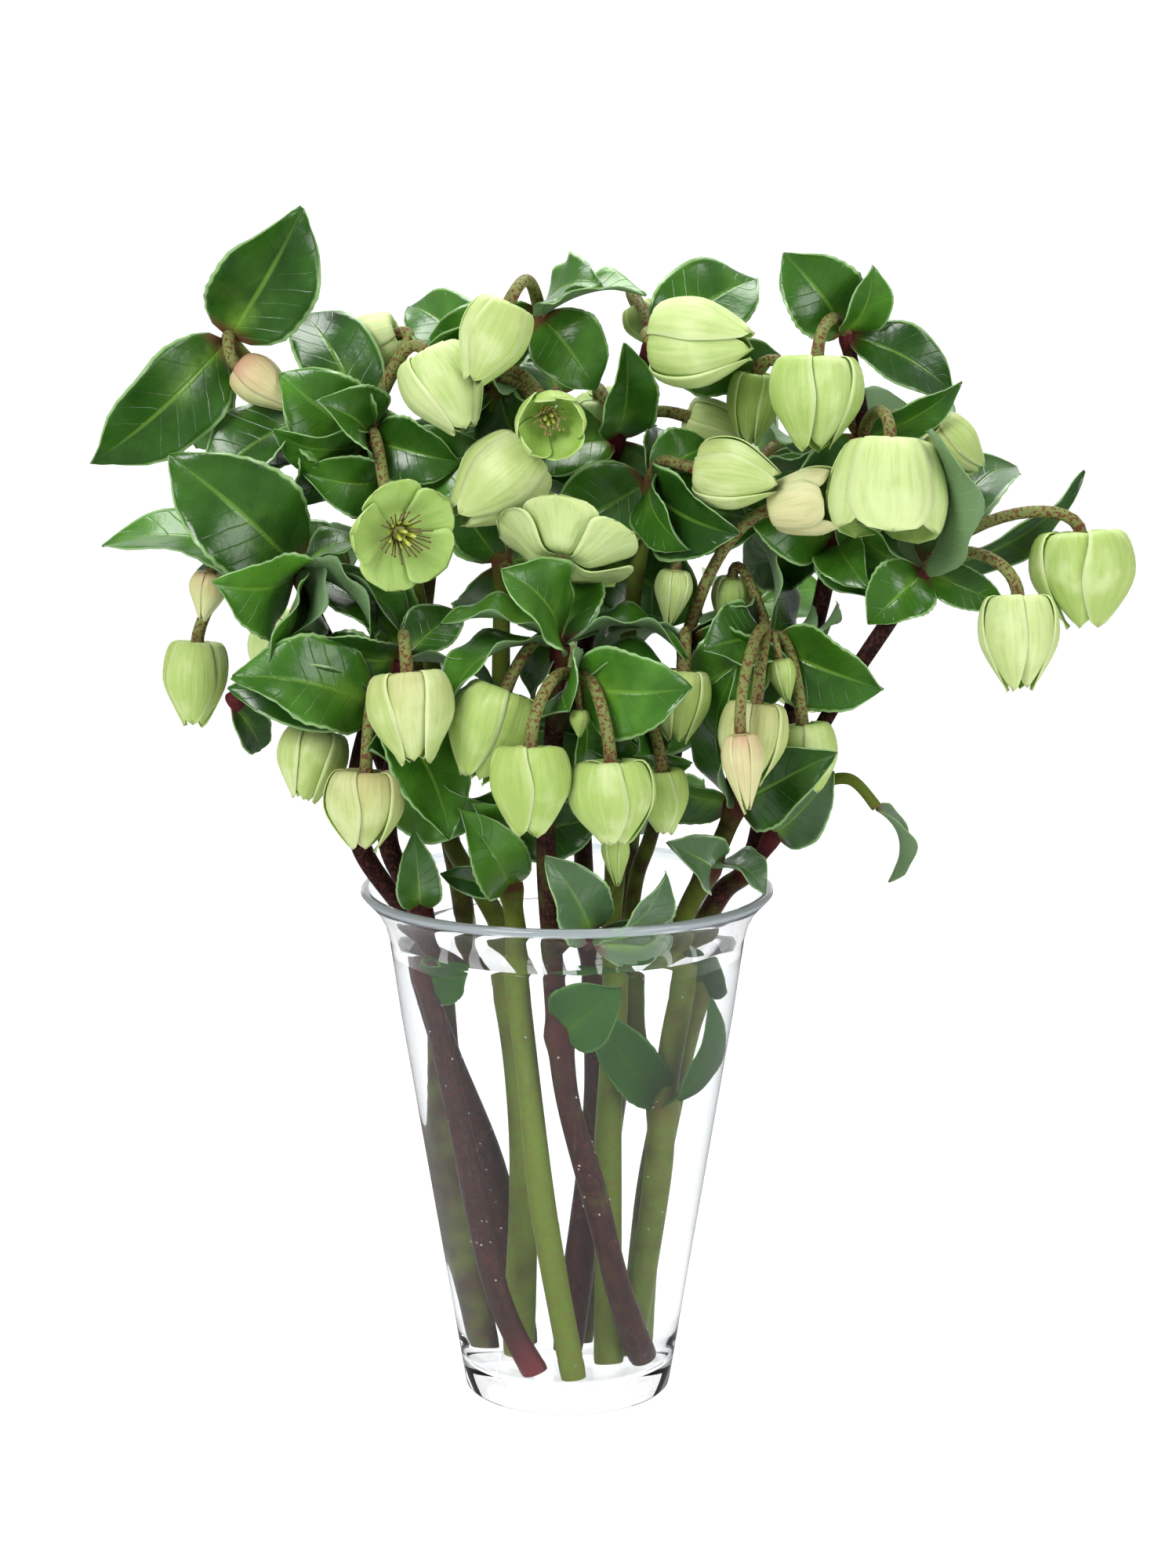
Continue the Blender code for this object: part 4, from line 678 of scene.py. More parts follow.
leafFinish = leafMaterial("leaf", leafLook, 0.6, 0.0)
# leaves in the water: no gloss, and painted shade, their colour mixed 0.8 of the way to the deep green
shadedWetLeafFinish = leafMaterial("leaf_in_water_painted_shade", leafLook, 0.0, 0.8)
sepalFinish = sepalMaterial(sepalLook)
stemFinish = stemMaterial(stemLook)
cutFinish = plainMaterial("cut_end", rgb(0.42, 0.40, 0.24), 0.7)
filamentFinish = plainMaterial("filament", rgb(0.56, 0.60, 0.30), 0.5)
antherFinish = plainMaterial("anther", rgb(0.42, 0.30, 0.13), 0.6)
nectaryFinish = plainMaterial("nectary", rgb(0.45, 0.52, 0.06), 0.4)
spentFinish = plainMaterial("spent_stamen", rgb(0.14, 0.065, 0.03), 0.7)
glassFinish = clearMaterial("vase_glass", rgb(0.985, 0.992, 1.0), 0.0, 1.36)
# the rim's pale grey-blue, which clear glass shows only by light carried and mirrored in it, is painted as a
# part-opaque colour
rimPaintedLightFinish = clearMaterial("vase_rim_painted_light", rgb(0.80, 0.88, 0.92), 0.08, 1.4, 0.72)
waterFinish = clearMaterial("water", rgb(0.985, 0.995, 1.0), 0.0, 1.15)
# bubbles are part white and opaque: a painted glint in place of the silvery shine of air in water
bubblePaintedGlintFinish = clearMaterial("bubble", rgb(1.0, 1.0, 1.0), 0.02, 1.25, 0.6)
print("finishes made")
# Stems, branches and flower stalks: lines with a radius, made round by one geometry tree
stemShape = {
    "footRadius": 5.1,
    "neckRadius": 3.9,
    "nodeRadius": 2.6,
    "tipRadius": 2.0,
    "branchExtra": 0.4,  # a branch is at most this much thicker than its node
    "footHeight": 12.2,
    "swelling": 0.32,
    "swellingReach": 5.0,
    "ripple": 0.05,
    "rippleRate": 0.37,
    "sides": 16,
    "pointsPerSpan": 10,
    "redEnd": (14.0, 34.0),  # heights between which the red foot fades
    "toneFade": (150.0, 230.0),  # heights between which the tone in the water changes to the upper one
    "nodeRed": (0.25, 0.75),  # below the rim and above it
    "footTaper": 0.94,
    "tipTaper": 0.9,
    "archNode": "arch_node",  # the leafy twig that hangs over the rim is thin and green
    "archThinness": 0.7,
    "archSwelling": 0.2,
}
stalkShape = {
    "radius": 2.25,
    "shareOfBloom": 0.27,
    "clearance": 0.32,
    "rise": 0.75,
    "fall": -0.35,
    "bend": 0.45,
    "longestBend": 16.0,
    "points": 15,
    "swelling": (0.15, 0.12),  # at the root and at the bloom
    "red": (0.5, 0.35),
    "tone": 0.3,
}
cutShape = {"sides": 20, "share": 0.9, "depth": 0.35}
stemTones = {  # share of brown below the rim of the vase and above it
    "dark_left_stem": (1.0, 0.9),
    "red_end_stem": (0.95, 0.85),
    "green_stem": (0.15, 0.1),
    "thin_green_stem": (0.3, 0.35),
    "brown_stem": (0.8, 0.7),
    "green_between_stem": (0.25, 0.3),
    "dark_behind_stem": (0.85, 0.8),
    "right_green_stem": (0.3, 0.55),
    "right_leaning_stem": (0.35, 0.95),
    "back_left_stem": (0.6, 0.6),
    "back_right_stem": (0.5, 0.6),
}


def treeWith(name, inputs):
    tree = bpy.data.node_groups.new(name, "GeometryNodeTree")
    face = tree.interface
    face.new_socket("Geometry", in_out="INPUT", socket_type="NodeSocketGeometry")
    keys = {}
    for label, kind in inputs:
        keys[label] = face.new_socket(label, in_out="INPUT", socket_type="NodeSocket" + kind).identifier
    face.new_socket("Geometry", in_out="OUTPUT", socket_type="NodeSocketGeometry")
    m = Maker(tree)
    given = tree.nodes.new("NodeGroupInput")
    wires = {label: Wire(m, given.outputs[1 + k]) for k, (label, kind) in enumerate(inputs)}
    wires["Geometry"] = Wire(m, given.outputs[0])
    return tree, m, keys, wires


def endTree(tree, made):
    tree.links.new(made.socket, tree.nodes.new("NodeGroupOutput").inputs[0])


def grow(piece, tree, keys, values):  # what the tree makes of the piece's mesh, as a plain mesh
    modifier = piece.modifiers.new(tree.name, "NODES")
    modifier.node_group = tree
    for label, value in values.items():
        modifier[keys[label]] = value
    return evaluated(piece)


def tubeTree():
    tree, m, keys, w = treeWith("round_lines", [("Sides", "Int"), ("Finish", "Material")])
    line = m.node("GeometryNodeMeshToCurve", {}, {0: w["Geometry"]})
    ring = m.node("GeometryNodeCurvePrimitiveCircle", {}, {"Resolution": w["Sides"], "Radius": 1.0})
    radius = m.node("GeometryNodeInputNamedAttribute", {"data_type": "FLOAT"}, {"Name": "tubeRadius"})
    tube = m.node("GeometryNodeCurveToMesh", {}, {"Curve": line, "Profile Curve": ring,
                                                  "Scale": radius, "Fill Caps": True})
    tube = m.node("GeometryNodeSetShadeSmooth", {}, {0: tube})
    real = m.node("GeometryNodeRealizeInstances", {}, {0: tube})
    endTree(tree, m.node("GeometryNodeSetMaterial", {}, {"Geometry": real, "Material": w["Finish"]}))
    return tree, keys


roundLines, lineKeys = tubeTree()


class Lines:
    # polylines with a radius and marks at each point
    def __init__(self):
        self.points = []
        self.edges = []
        self.marks = {"tubeRadius": [], "tone": [], "nodeRed": [], "stalk": []}

    def add(self, points, radii, tone, red, stalk):
        start = len(self.points)
        self.points += [tuple(p * mm) for p in points]
        self.edges += [(start + k, start + k + 1) for k in range(len(points) - 1)]
        self.marks["tubeRadius"] += [r * mm for r in radii]
        self.marks["tone"] += tone
        self.marks["nodeRed"] += red
        self.marks["stalk"] += [stalk] * len(points)

    def build(self, name, sides, finish):
        mesh = bpy.data.meshes.new(name)
        mesh.from_pydata(self.points, self.edges, [])
        for key, values in self.marks.items():
            mesh.attributes.new(key, "FLOAT", "POINT").data.foreach_set("value", values)
        piece = grow(linked(name, mesh), roundLines, lineKeys, {"Sides": sides, "Finish": finish})
        if sum(face.area * face.center.dot(face.normal) for face in piece.data.polygons) < 0:
            piece.data.flip_normals()
        return piece


def stemRadius(height, isMain):
    shape = stemShape
    if height < rimHeight:
        radius = shape["footRadius"] + (shape["neckRadius"] - shape["footRadius"]) * height / rimHeight
    else:
        share = min((height - rimHeight) / rimHeight, 1.0)
        radius = shape["neckRadius"] + (shape["nodeRadius"] - shape["neckRadius"]) * share
    return radius if isMain else min(radius, shape["nodeRadius"] + shape["branchExtra"])


def stalkLine(start, root, axis):
    shape = stalkShape
    end = root - axis * shape["clearance"]
    span = (end - start).length
    arch = shape["rise"] if axis.z < 0.3 else shape["fall"]
    rise = (Vector((0.0, 0.0, arch)) + (end - start).normalized() * 0.5).normalized()
    first = start + rise * span * shape["bend"]
    last = end - axis * min(span * shape["bend"], shape["longestBend"])
    points = []
    for step in range(shape["points"]):
        t = step / (shape["points"] - 1)
        points.append(start * (1 - t) ** 3 + first * 3 * t * (1 - t) ** 2
                      + last * 3 * t * t * (1 - t) + end * t ** 3)
    return points


# Where each bloom hangs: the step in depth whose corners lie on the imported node
depthSteps = (0, -8, 8, -16, 16, -24, 24, -32, 32, -42, 42)
spinPerBloom = 2.4


def deeper(place, step):
    return (place[0], place[1], place[2] + step)


def hanging(number, name):
    node, place, heading, kind, radius, length = blooms[name]
    axis = Vector((heading[0], heading[2], heading[1])).normalized()
    turn = axis.to_track_quat("Z", "Y") @ Quaternion((0.0, 0.0, 1.0), number * spinPerBloom)
    share, height, span = bloomKinds[kind][2]
    tips = [turn @ Vector((share * radius * math.cos(math.tau * k / 5),
                           share * radius * math.sin(math.tau * k / 5), height * length)) for k in range(5)]
    tree = cadTree(name)
    best = None
    for step in depthSteps:
        root = seen(deeper(place, step))
        miss = missBy(tree, [root + tip for tip in tips])
        if best is None or miss < best[0]:
            best = (miss, root)
    if best[0] > 0.5:
        print("bloom off its node:", name, round(best[0], 2))
    return best[1], axis, turn, number


def stemLine(items, isMain):
    points = [pointOf(item) for item in items]
    if isMain:
        lean = (points[1] - points[0]).normalized()
        points[0].z = stemShape["footHeight"] + stemShape["footRadius"] * math.sqrt(1 - lean.z ** 2)
    return smoothLine(points, stemShape["pointsPerSpan"])


def addStem(tubes, name, items, isMain, nodePoints, phase):
    shape = stemShape
    isArch = items[-1] == shape["archNode"]
    thinness = shape["archThinness"] if isArch else 1.0
    low, high = stemTones[name]
    lowRed, highRed = shape["nodeRed"]
    line = stemLine(items, isMain)
    radii, tone, red = [], [], []
    for k, point in enumerate(line):
        near = min([(point - other).length for other in nodePoints] or [99.0])
        swell = math.exp(-(near / shape["swellingReach"]) ** 2)
        ripple = shape["ripple"] * math.sin(phase + k * shape["rippleRate"])
        if isArch:
            swell *= shape["archSwelling"]
        radii.append(stemRadius(point.z, isMain) * (1.0 + shape["swelling"] * swell + ripple) * thinness)
        brown = low + (high - low) * float(smoothStep(*shape["toneFade"], point.z))
        tone.append(0.0 if isArch else brown)
        red.append((highRed if point.z > rimHeight else lowRed) * swell)
        if isMain and name == "red_end_stem":
            red[k] = max(red[k], float(1.0 - smoothStep(*shape["redEnd"], point.z)) * 0.9)
    if isMain:
        radii[0] *= shape["footTaper"]
    radii[-1] = max(shape["tipRadius"], radii[-1] * shape["tipTaper"])
    tubes.add(line, radii, tone, red, 0.0)
    return line, radii[0]


def addStalk(tubes, name):
    shape = stalkShape
    root, axis = hangings[name][:2]
    node, radius = blooms[name][0], blooms[name][4]
    line = stalkLine(pointOf(node), root, axis)
    thin = min(shape["radius"], radius * shape["shareOfBloom"])
    rootSwelling, endSwelling = shape["swelling"]
    rootRed, endRed = shape["red"]
    count = shape["points"]
    radii = []
    red = []
    for k in range(count):
        share = k / (count - 1)
        radii.append(thin * (1.0 + rootSwelling - rootSwelling * min(1.0, 3.0 * share)
                             + endSwelling * max(0.0, share - 0.8) / 0.2))
        red.append(rootRed * max(0.0, 1.0 - k / 4) + endRed * float(smoothStep(0.8, 1.0, share)))
    tubes.add(line, radii, [shape["tone"]] * count, red, 1.0)


def addCutEnd(line, radius):
    sides = cutShape["sides"]
    foot, along = line[0], (line[1] - line[0]).normalized()
    side = along.orthogonal().normalized()
    other = along.cross(side)
    reach = radius * cutShape["share"]
    verts = []
    for back in (0.0, cutShape["depth"]):
        for k in range(sides):
            angle = math.tau * k / sides
            outward = side * math.cos(angle) + other * math.sin(angle)
            verts.append(tuple(foot - along * back + outward * reach))
    faces = [list(range(sides)), list(range(sides, 2 * sides))[::-1]]
    faces += [(k, k + sides, (k + 1) % sides + sides, (k + 1) % sides) for k in range(sides)]
    cutEnds.add(verts, faces)


hangings = {name: hanging(number, name) for number, name in enumerate(blooms)}
draw = random.Random(3)
stemPieces = {}
cutEnds = Gather()
for name, lines in stemLines.items():
    tubes = Lines()
    nodePoints = [pointOf(item) for line in lines for item in line[1:] if isinstance(item, str)]
    for number, items in enumerate(lines):
        line, radius = addStem(tubes, name, items, number == 0, nodePoints, draw.uniform(0, 6))
        if number == 0:
            addCutEnd(line, radius)
    for bloomName, entry in blooms.items():
        if ownerOf(entry[0]) == name:
            addStalk(tubes, bloomName)
    stemPieces[name] = tubes.build(name + "_tubes", stemShape["sides"], stemFinish)
    fit(stemPieces[name], "leafy_stem", name)
fit(cutEnds.build("cut_ends", cutFinish), "leafy_stem")
print("stems made")


# Leaves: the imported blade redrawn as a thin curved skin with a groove, wavy edges and a fine tip
leafShape = {
    "growth": 1.2,
    "breadth": 1.1,
    "rows": 24,
    "cols": 13,
    "thickness": 0.75,
    "edgeThickness": 0.4,
    "groove": 0.45,
    "wave": 0.055,
    "curl": 0.05,
    "turns": (0, 25, -25, 50, -50, 80, -80),
    "rootDepth": 1.2,
    "rootHalfWidth": 1.5,
    "tipHalfWidth": 0.14,
    "leastThickness": 0.3,
    "farthestTip": 2.0,  # a packed tip lies no farther than this from the leaf's own
    "teeth": (0.018, 75.0),  # share of the width, and rate along the leaf
    "tints": (0.0, 0.88, 0.38),
    "stations": (0.18, 0.46, 0.77),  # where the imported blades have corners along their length
    "hiddenStations": (0.26, 0.66),
    "wetShadeRadius": 66.0,  # leaves nearer the middle than this, under the water level, are wet and get the finish with painted shade
}
fillingRule = {
    "seed": 26,
    "spread": 0.6,
    "rise": (-0.7, 0.7),
    "length": (36.0, 52.0),
    # width, turn, arch, trough and twist
    "form": ((23.0, 33.0), (-40, 40), (0.1, 0.22), (0.2, 0.4), (-30, 40)),
}
farSideRule = {
    "seed": 11,
    "rise": (-0.55, 0.75),
    "length": (34.0, 56.0),
    "form": ((17.0, 29.0), (-60, 60), (0.08, 0.2), (0.2, 0.45), (-30, 40)),
}
dullNodes = ("rim_leaf_node", "right_neck_node", "brown_water_node", "water_fork", "right_water_node",
             "left_water_node", "arch_node", "arch_foot")


def bladeOutline(t):
    return np.sin(math.pi * np.clip(t, 0.0, 1.0) ** 0.82).clip(0.0, 1.0) ** 0.75


def bladeFrame(root, tip, turn):
    chord = tip - root
    along = chord / chord.length
    view = (eye - (root + tip) * 0.5).normalized()
    face = (view - along * view.dot(along)).normalized()
    return chord, along, Quaternion(along, math.radians(turn)) @ face


def edgePoints(root, tip, width, turn, arch, trough, twist, stations):
    chord, along, face = bladeFrame(root, tip, turn)
    points = [tip]
    for t in stations:
        turned = Quaternion(along, math.radians(twist) * (t - 0.3)) @ face
        side = along.cross(turned)
        middle = root + chord * t + face * (arch * chord.length * 4 * t * (1 - t))
        half = max(width * 0.5 * float(bladeOutline(t)), leafShape["rootHalfWidth"])
        points.append(middle - side * half + turned * half * trough)
        points.append(middle + side * half + turned * half * trough)
    return points


leafFaces = sheetFaces(leafShape["rows"], leafShape["cols"])


def leafSkin(root, tip, width, turn, arch, trough, twist, draw):
    shape = leafShape
    rows, cols = shape["rows"], shape["cols"]
    chord, along, face = bladeFrame(root, tip, turn)
    length = chord.length
    t = np.linspace(0.0, 1.0, rows)[:, None, None]
    a = np.linspace(-1.0, 1.0, cols)[None, :, None]
    k = np.array(along)
    f = np.array(face)
    angle = math.radians(twist) * (t - 0.3)
    turned = f * np.cos(angle) + np.cross(k, f) * np.sin(angle)
    side = np.cross(np.broadcast_to(k, turned.shape), turned)
    outline = bladeOutline(t) ** 0.82 * (1.0 - 0.35 * smoothStep(0.8, 1.0, t))
    half = width * 0.5 * shape["breadth"] * outline
    half = np.maximum(half, shape["rootHalfWidth"] * (1.0 - smoothStep(0.0, 0.3, t)))
    half = np.maximum(half, shape["tipHalfWidth"])
    phase = draw.uniform(0.0, math.tau)
    rate = draw.uniform(1.6, 2.6)
    depth, perLength = shape["teeth"]
    teeth = 1.0 + depth * np.abs(a) ** 4 * np.sin(t * perLength + phase)
    middle = np.array(root) + np.array(chord) * t + f * (arch * length * 4 * t * (1 - t))
    lift = half * trough * np.abs(a) ** 1.5
    wave = shape["wave"] * width * np.abs(a) ** 3 * np.sin(math.tau * rate * t + phase + 1.3 * np.sign(a))
    wave = wave * smoothStep(0.0, 0.25, t)
    curl = shape["curl"] * length * smoothStep(0.7, 1.0, t) * draw.uniform(-1.0, 0.6)
    groove = shape["groove"] * np.exp(-(a * half / 0.8) ** 2) * (1.0 - 0.6 * t)
    core = middle + side * half * a * teeth + turned * (lift + wave + curl)
    thick = shape["thickness"] * (1.3 - 0.6 * t)
    thick = np.maximum(thick * (1.0 - np.abs(a) ** 3) + shape["edgeThickness"] * np.abs(a) ** 3,
                       shape["leastThickness"])
    run = np.gradient(core, axis=0)
    across = np.gradient(core, axis=1)
    normal = np.cross(across, run)
    size = np.linalg.norm(normal, axis=2, keepdims=True)
    normal = np.where(size > 1e-9, normal / np.maximum(size, 1e-9), turned)
    flip = np.sign((normal * turned).sum(2).mean()) or 1.0
    normal = normal * flip
    upper = core + normal * (thick * 0.5 - groove)
    lower = core - normal * (thick * 0.5 + groove * 0.6)
    verts = np.concatenate([upper.reshape(-1, 3), lower.reshape(-1, 3)])
    u = np.broadcast_to(a * 0.5 + 0.5, (rows, cols, 1))
    v = np.broadcast_to(t, (rows, cols, 1))
    spread = np.concatenate([u, v], axis=2).reshape(-1, 2)
    return verts, np.concatenate([spread, spread])


def farSideLeaves():
    rule = farSideRule
    draw = random.Random(rule["seed"])
    made = []
    for node, count in farSideCounts.items():
        start = pointOf(node)
        outward = Vector((start.x, start.y + 40.0, 0.0)).normalized()
        for number in range(count):
            side = Vector((outward.y, -outward.x, 0.0)) * draw.uniform(-1.0, 1.0)
            heading = (outward + side + Vector((0.0, 0.0, draw.uniform(*rule["rise"])))).normalized()
            heading = Vector((heading.x, abs(heading.y) + 0.15, heading.z)).normalized()
            tip = start + heading * draw.uniform(*rule["length"])
            made.append((node, tip, *[draw.uniform(*limits) for limits in rule["form"]]))
    return made


def fillingLeaves():
    rule = fillingRule
    draw = random.Random(rule["seed"])
    made = []
    for node, count in fillingCounts.items():
        start = pointOf(node)
        for number in range(count):
            angle = draw.uniform(0.0, math.tau)
            heading = Vector((math.cos(angle), math.sin(angle) * rule["spread"],
                              draw.uniform(*rule["rise"]))).normalized()
            tip = start + heading * draw.uniform(*rule["length"])
            made.append((node, tip, *[draw.uniform(*limits) for limits in rule["form"]]))
    return made


def settled(tree, start, tip, place, width, turn, arch, trough, twist):
    # the root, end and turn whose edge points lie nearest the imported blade, with how far off they are
    stations = leafShape["stations"] if place else leafShape["hiddenStations"]
    best = None
    for step in depthSteps:
        end = seen(deeper(place, step)) if place else tip + Vector((0.0, step * 0.6, 0.0))
        if tree.find(end)[2] > leafShape["farthestTip"]:
            continue
        root = start + (end - start).normalized() * leafShape["rootDepth"]
        for extra in leafShape["turns"]:
            miss = missBy(tree, edgePoints(root, end, width, turn + extra, arch, trough, twist, stations))
            if best is None or miss < best[0]:
                best = (miss, root, end, turn + extra)
    return best


leafList = [(node, None, place, width * leafShape["growth"], turn, arch, trough, twist)
            for node, place, width, turn, arch, trough, twist in leaves]
leafList += [(node, tip, None, width, turn, arch, trough, twist)
             for node, tip, width, turn, arch, trough, twist in fillingLeaves() + farSideLeaves()]
nodeTrees = {name: cadTree(name) for name in stemLines}
leafGroups = {name: Gather() for name in stemLines}
draw = random.Random(21)
misses = []
for node, tip, place, width, turn, arch, trough, twist in leafList:
    owner = ownerOf(node)
    best = settled(nodeTrees[owner], pointOf(node), tip, place, width, turn, arch, trough, twist)
    if best is None:
        print("leaf without a packed blade:", node)
        continue
    miss, root, end, turned = best
    misses.append(miss)
    tint = 1.0 if node in dullNodes else draw.triangular(*leafShape["tints"])
    verts, spread = leafSkin(root, end, width, turned, arch, trough, twist, draw)
    middle = len(verts) // 2
    marks = np.zeros((len(verts), 2))
    marks[middle:, 0] = 1.0
    marks[:, 1] = tint
    leafGroups[owner].add(verts, leafFaces, spread=spread, marks=marks)
print("leaves made:", len(misses), "worst miss", round(max(misses), 2))
for name, group in leafGroups.items():
    piece = fit(group.build(name + "_leaves", leafFinish), "leafy_stem", name)
    piece.data.materials.append(shadedWetLeafFinish)
    # the leaves in the water near the middle get the second finish, without gloss and with painted shade
    for face in piece.data.polygons:
        across, away, height = face.center / mm
        if height < waterLevel and math.hypot(across, away) < leafShape["wetShadeRadius"]:
            face.material_index = 1


# Blooms: five broad overlapping sepals on a small round receptacle
bloomShape = {
    "rows": 18,
    "cols": 13,
    "spanGrowth": 1.22,
    "thickness": 0.55,
    "over": 0.035,
    "under": -0.075,
    "order": (0, 3, 1, 4, 2),
    "ripple": 0.035,
    "puff": 0.03,
    "roll": 0.03,
    "fold": 0.02,
    "dimple": 0.09,
    "sepals": 5,
    "rootSpan": 24.0,
    "lowSpanGrowth": 1.12,
    "widths": (0.95, 1.08),
    "lean": 5.0,
    "tints": ((0.0, 0.12), (0.0, 0.15), (0.1, 0.75)),  # blush, fade and lightness, where none is given; lightness paints the sepals lit or shaded, mixed with random tone
}
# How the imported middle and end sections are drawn, (radius, height), and how blunt the sepal tips are:
# closed blooms are egg shaped, widest above the middle and closing to the tips
closedForm = {"middle": (0.99, 0.84), "end": 0.8, "ends": (1.03, 1.1), "bluntness": 2.9}
openForm = {"middle": (1.0, 1.0), "end": 1.0, "ends": (0.97, 1.05), "bluntness": 2.0}
receptacleShape = {
    "sides": 14,
    "widest": 3.0,
    "share": 0.34,
    "highest": 1.3,
    "heightShare": 0.25,
}
forms = {"bell": closedForm, "bud": closedForm, "half": openForm, "cup": openForm, "open": openForm}
bloomTintsAndPaintedLight = {  # (pink blush, creamy fade, lightness, which paints each bloom lit or shaded)
    "bloom_23": (0.75, 0.5, 0.9),
    "bloom_25": (0.55, 0.3, 0.7),
    "bloom_05": (0.35, 0.0, 0.5),
    "bloom_28": (0.5, 0.6, 0.8),
    "bloom_04": (0.25, 0.1, 0.5),
    "bloom_17": (0.1, 0.75, 0.9),
    "bloom_08": (0.0, 0.15, 1.0),
    "bloom_11": (0.0, 0.1, 0.8),
    "bloom_21": (0.0, 0.1, 0.8),
    "bloom_29": (0.0, 0.25, 0.9),
    "bloom_32": (0.0, 0.0, 0.1),
    "bloom_36": (0.0, 0.0, 0.0),
    "bloom_19": (0.2, 0.3, 0.5),
    "bloom_15": (0.0, 0.1, 0.6),
}
sepalFaces = sheetFaces(bloomShape["rows"], bloomShape["cols"])


def profilePoint(profile, s):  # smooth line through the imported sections, s from 0 to 3
    last = len(profile) - 1
    index = min(int(s), last - 1)
    return between(profile[max(index - 1, 0)], profile[index], profile[index + 1],
                   profile[min(index + 2, last)], s - index)


def seatOf(radius):  # radius and height of the receptacle
    shape = receptacleShape
    return min(shape["widest"], radius * shape["share"]), min(shape["highest"], radius * shape["heightShare"])


def sepalSkin(kind, radius, length, number, draw):
    shape = bloomShape
    rows, cols = shape["rows"], shape["cols"]
    count = shape["sepals"]
    form = forms[kind]
    seat, rise = seatOf(radius)
    sections = bloomKinds[kind]
    profile = [np.array((seat * 0.8, rise * 0.5))]
    profile += [np.array((share * radius, height * length)) for share, height, span in sections]
    own = shape["order"][number]
    leftOver = own < shape["order"][(number - 1) % count]
    rightOver = own < shape["order"][(number + 1) % count]
    spans = [shape["rootSpan"], sections[0][2] * shape["lowSpanGrowth"],
             sections[1][2] * shape["spanGrowth"] * draw.uniform(*shape["widths"])]
    profile[2] = profile[2] * np.array(form["middle"])
    profile[3] = profile[3] * np.array((form["end"], draw.uniform(*form["ends"])))
    lean = math.radians(draw.uniform(-shape["lean"], shape["lean"]))
    line = np.array([profilePoint(profile, 3.0 * r / (rows - 1)) for r in range(rows)])
    along = np.linspace(0.0, 3.0, rows)
    line[:, 1] -= shape["dimple"] * radius * np.exp(-((along - 0.8) / 0.5) ** 2)
    run = np.gradient(line, axis=0)
    run /= np.linalg.norm(run, axis=1, keepdims=True)
    out = np.stack([run[:, 1], -run[:, 0]], axis=1)
    a = np.linspace(-1.0, 1.0, cols)
    phase = draw.uniform(0, math.tau)
    middleAngle = math.tau * number / count
    upper = np.zeros((rows, cols, 3))
    lower = np.zeros((rows, cols, 3))
    spread = np.zeros((rows, cols, 2))
    for r in range(rows):
        s = 3.0 * r / (rows - 1)
        if s < 2.0:
            index = int(s)
            span = spans[index] + (spans[index + 1] - spans[index]) * smoothStep(index, index + 1, s)
        else:
            share = s - 2.0
            span = spans[2] * math.sqrt(max(1.0 - share ** form["bluntness"], 0.0)) * (1.0 - 0.05 * share)
        span = math.radians(max(span, 0.7))
        edge = np.abs(a)
        shift = np.where(a < 0, shape["over"] if leftOver else shape["under"],
                         shape["over"] if rightOver else shape["under"])
        shift = shift * edge ** 1.5 * radius * smoothStep(0.2, 1.2, s)
        ripple = shape["ripple"] * radius * edge ** 3 * np.sin(2.4 * s + phase + a) * smoothStep(0.8, 2.0, s)
        puff = shape["puff"] * radius * np.cos(a * math.pi * 0.5) * smoothStep(0.3, 1.5, s)
        fold = -shape["fold"] * radius * np.exp(-(a / 0.12) ** 2) * smoothStep(0.0, 1.0, s)
        roll = shape["roll"] * radius * edge ** 6 * smoothStep(0.5, 1.5, s)
        moved = shift + ripple + puff * 0.6 + fold + roll
        thick = shape["thickness"] * (1.2 - 0.5 * edge) * (1.25 - 0.25 * s / 3.0)
        flat = 0.965 + 0.035 * np.cos(a * math.pi * 0.5)
        angle = middleAngle + a * span + lean * smoothStep(0.6, 3.0, s)
        for grid, half in ((upper, 0.5), (lower, -0.5)):
            ringRadius = line[r, 0] * flat + out[r, 0] * (moved + thick * half)
            height = line[r, 1] + out[r, 1] * (moved + thick * half)
            ringRadius = np.maximum(ringRadius, 0.05)
            grid[r, :, 0] = ringRadius * np.cos(angle)
            grid[r, :, 1] = ringRadius * np.sin(angle)
            grid[r, :, 2] = height
        spread[r, :, 0] = a * 0.5 + 0.5
        spread[r, :, 1] = s / 3.0
    verts = np.concatenate([upper.reshape(-1, 3), lower.reshape(-1, 3)])
    spread = spread.reshape(-1, 2)
    return verts, np.concatenate([spread, spread])


def revolved(profile, sides):  # closed round form, with each pole one corner
    verts = []
    rings = []
    for radius, height in profile:
        rings.append([len(verts) + (k if radius else 0) for k in range(sides)])
        for k in range(sides if radius else 1):
            angle = math.tau * k / sides
            verts.append((radius * math.cos(angle), radius * math.sin(angle), height))
    faces = []
    for low, high in zip(rings, rings[1:]):
        for k in range(sides):
            n = (k + 1) % sides
            faces.append(tuple(dict.fromkeys((low[k], low[n], high[n], high[k]))))
    return np.array(verts), faces


def receptacle(radius):
    seat, rise = seatOf(radius)
    profile = [(0.0, -0.4), (seat * 0.55, -0.35), (seat * 0.95, -0.05), (seat * 1.04, rise * 0.5),
               (seat * 0.8, rise * 1.15), (0.0, rise * 1.3)]
    return revolved(profile, receptacleShape["sides"])


def placed(verts, root, turn):
    spun = np.array(turn.to_matrix())
    return verts @ spun.T + np.array(root)


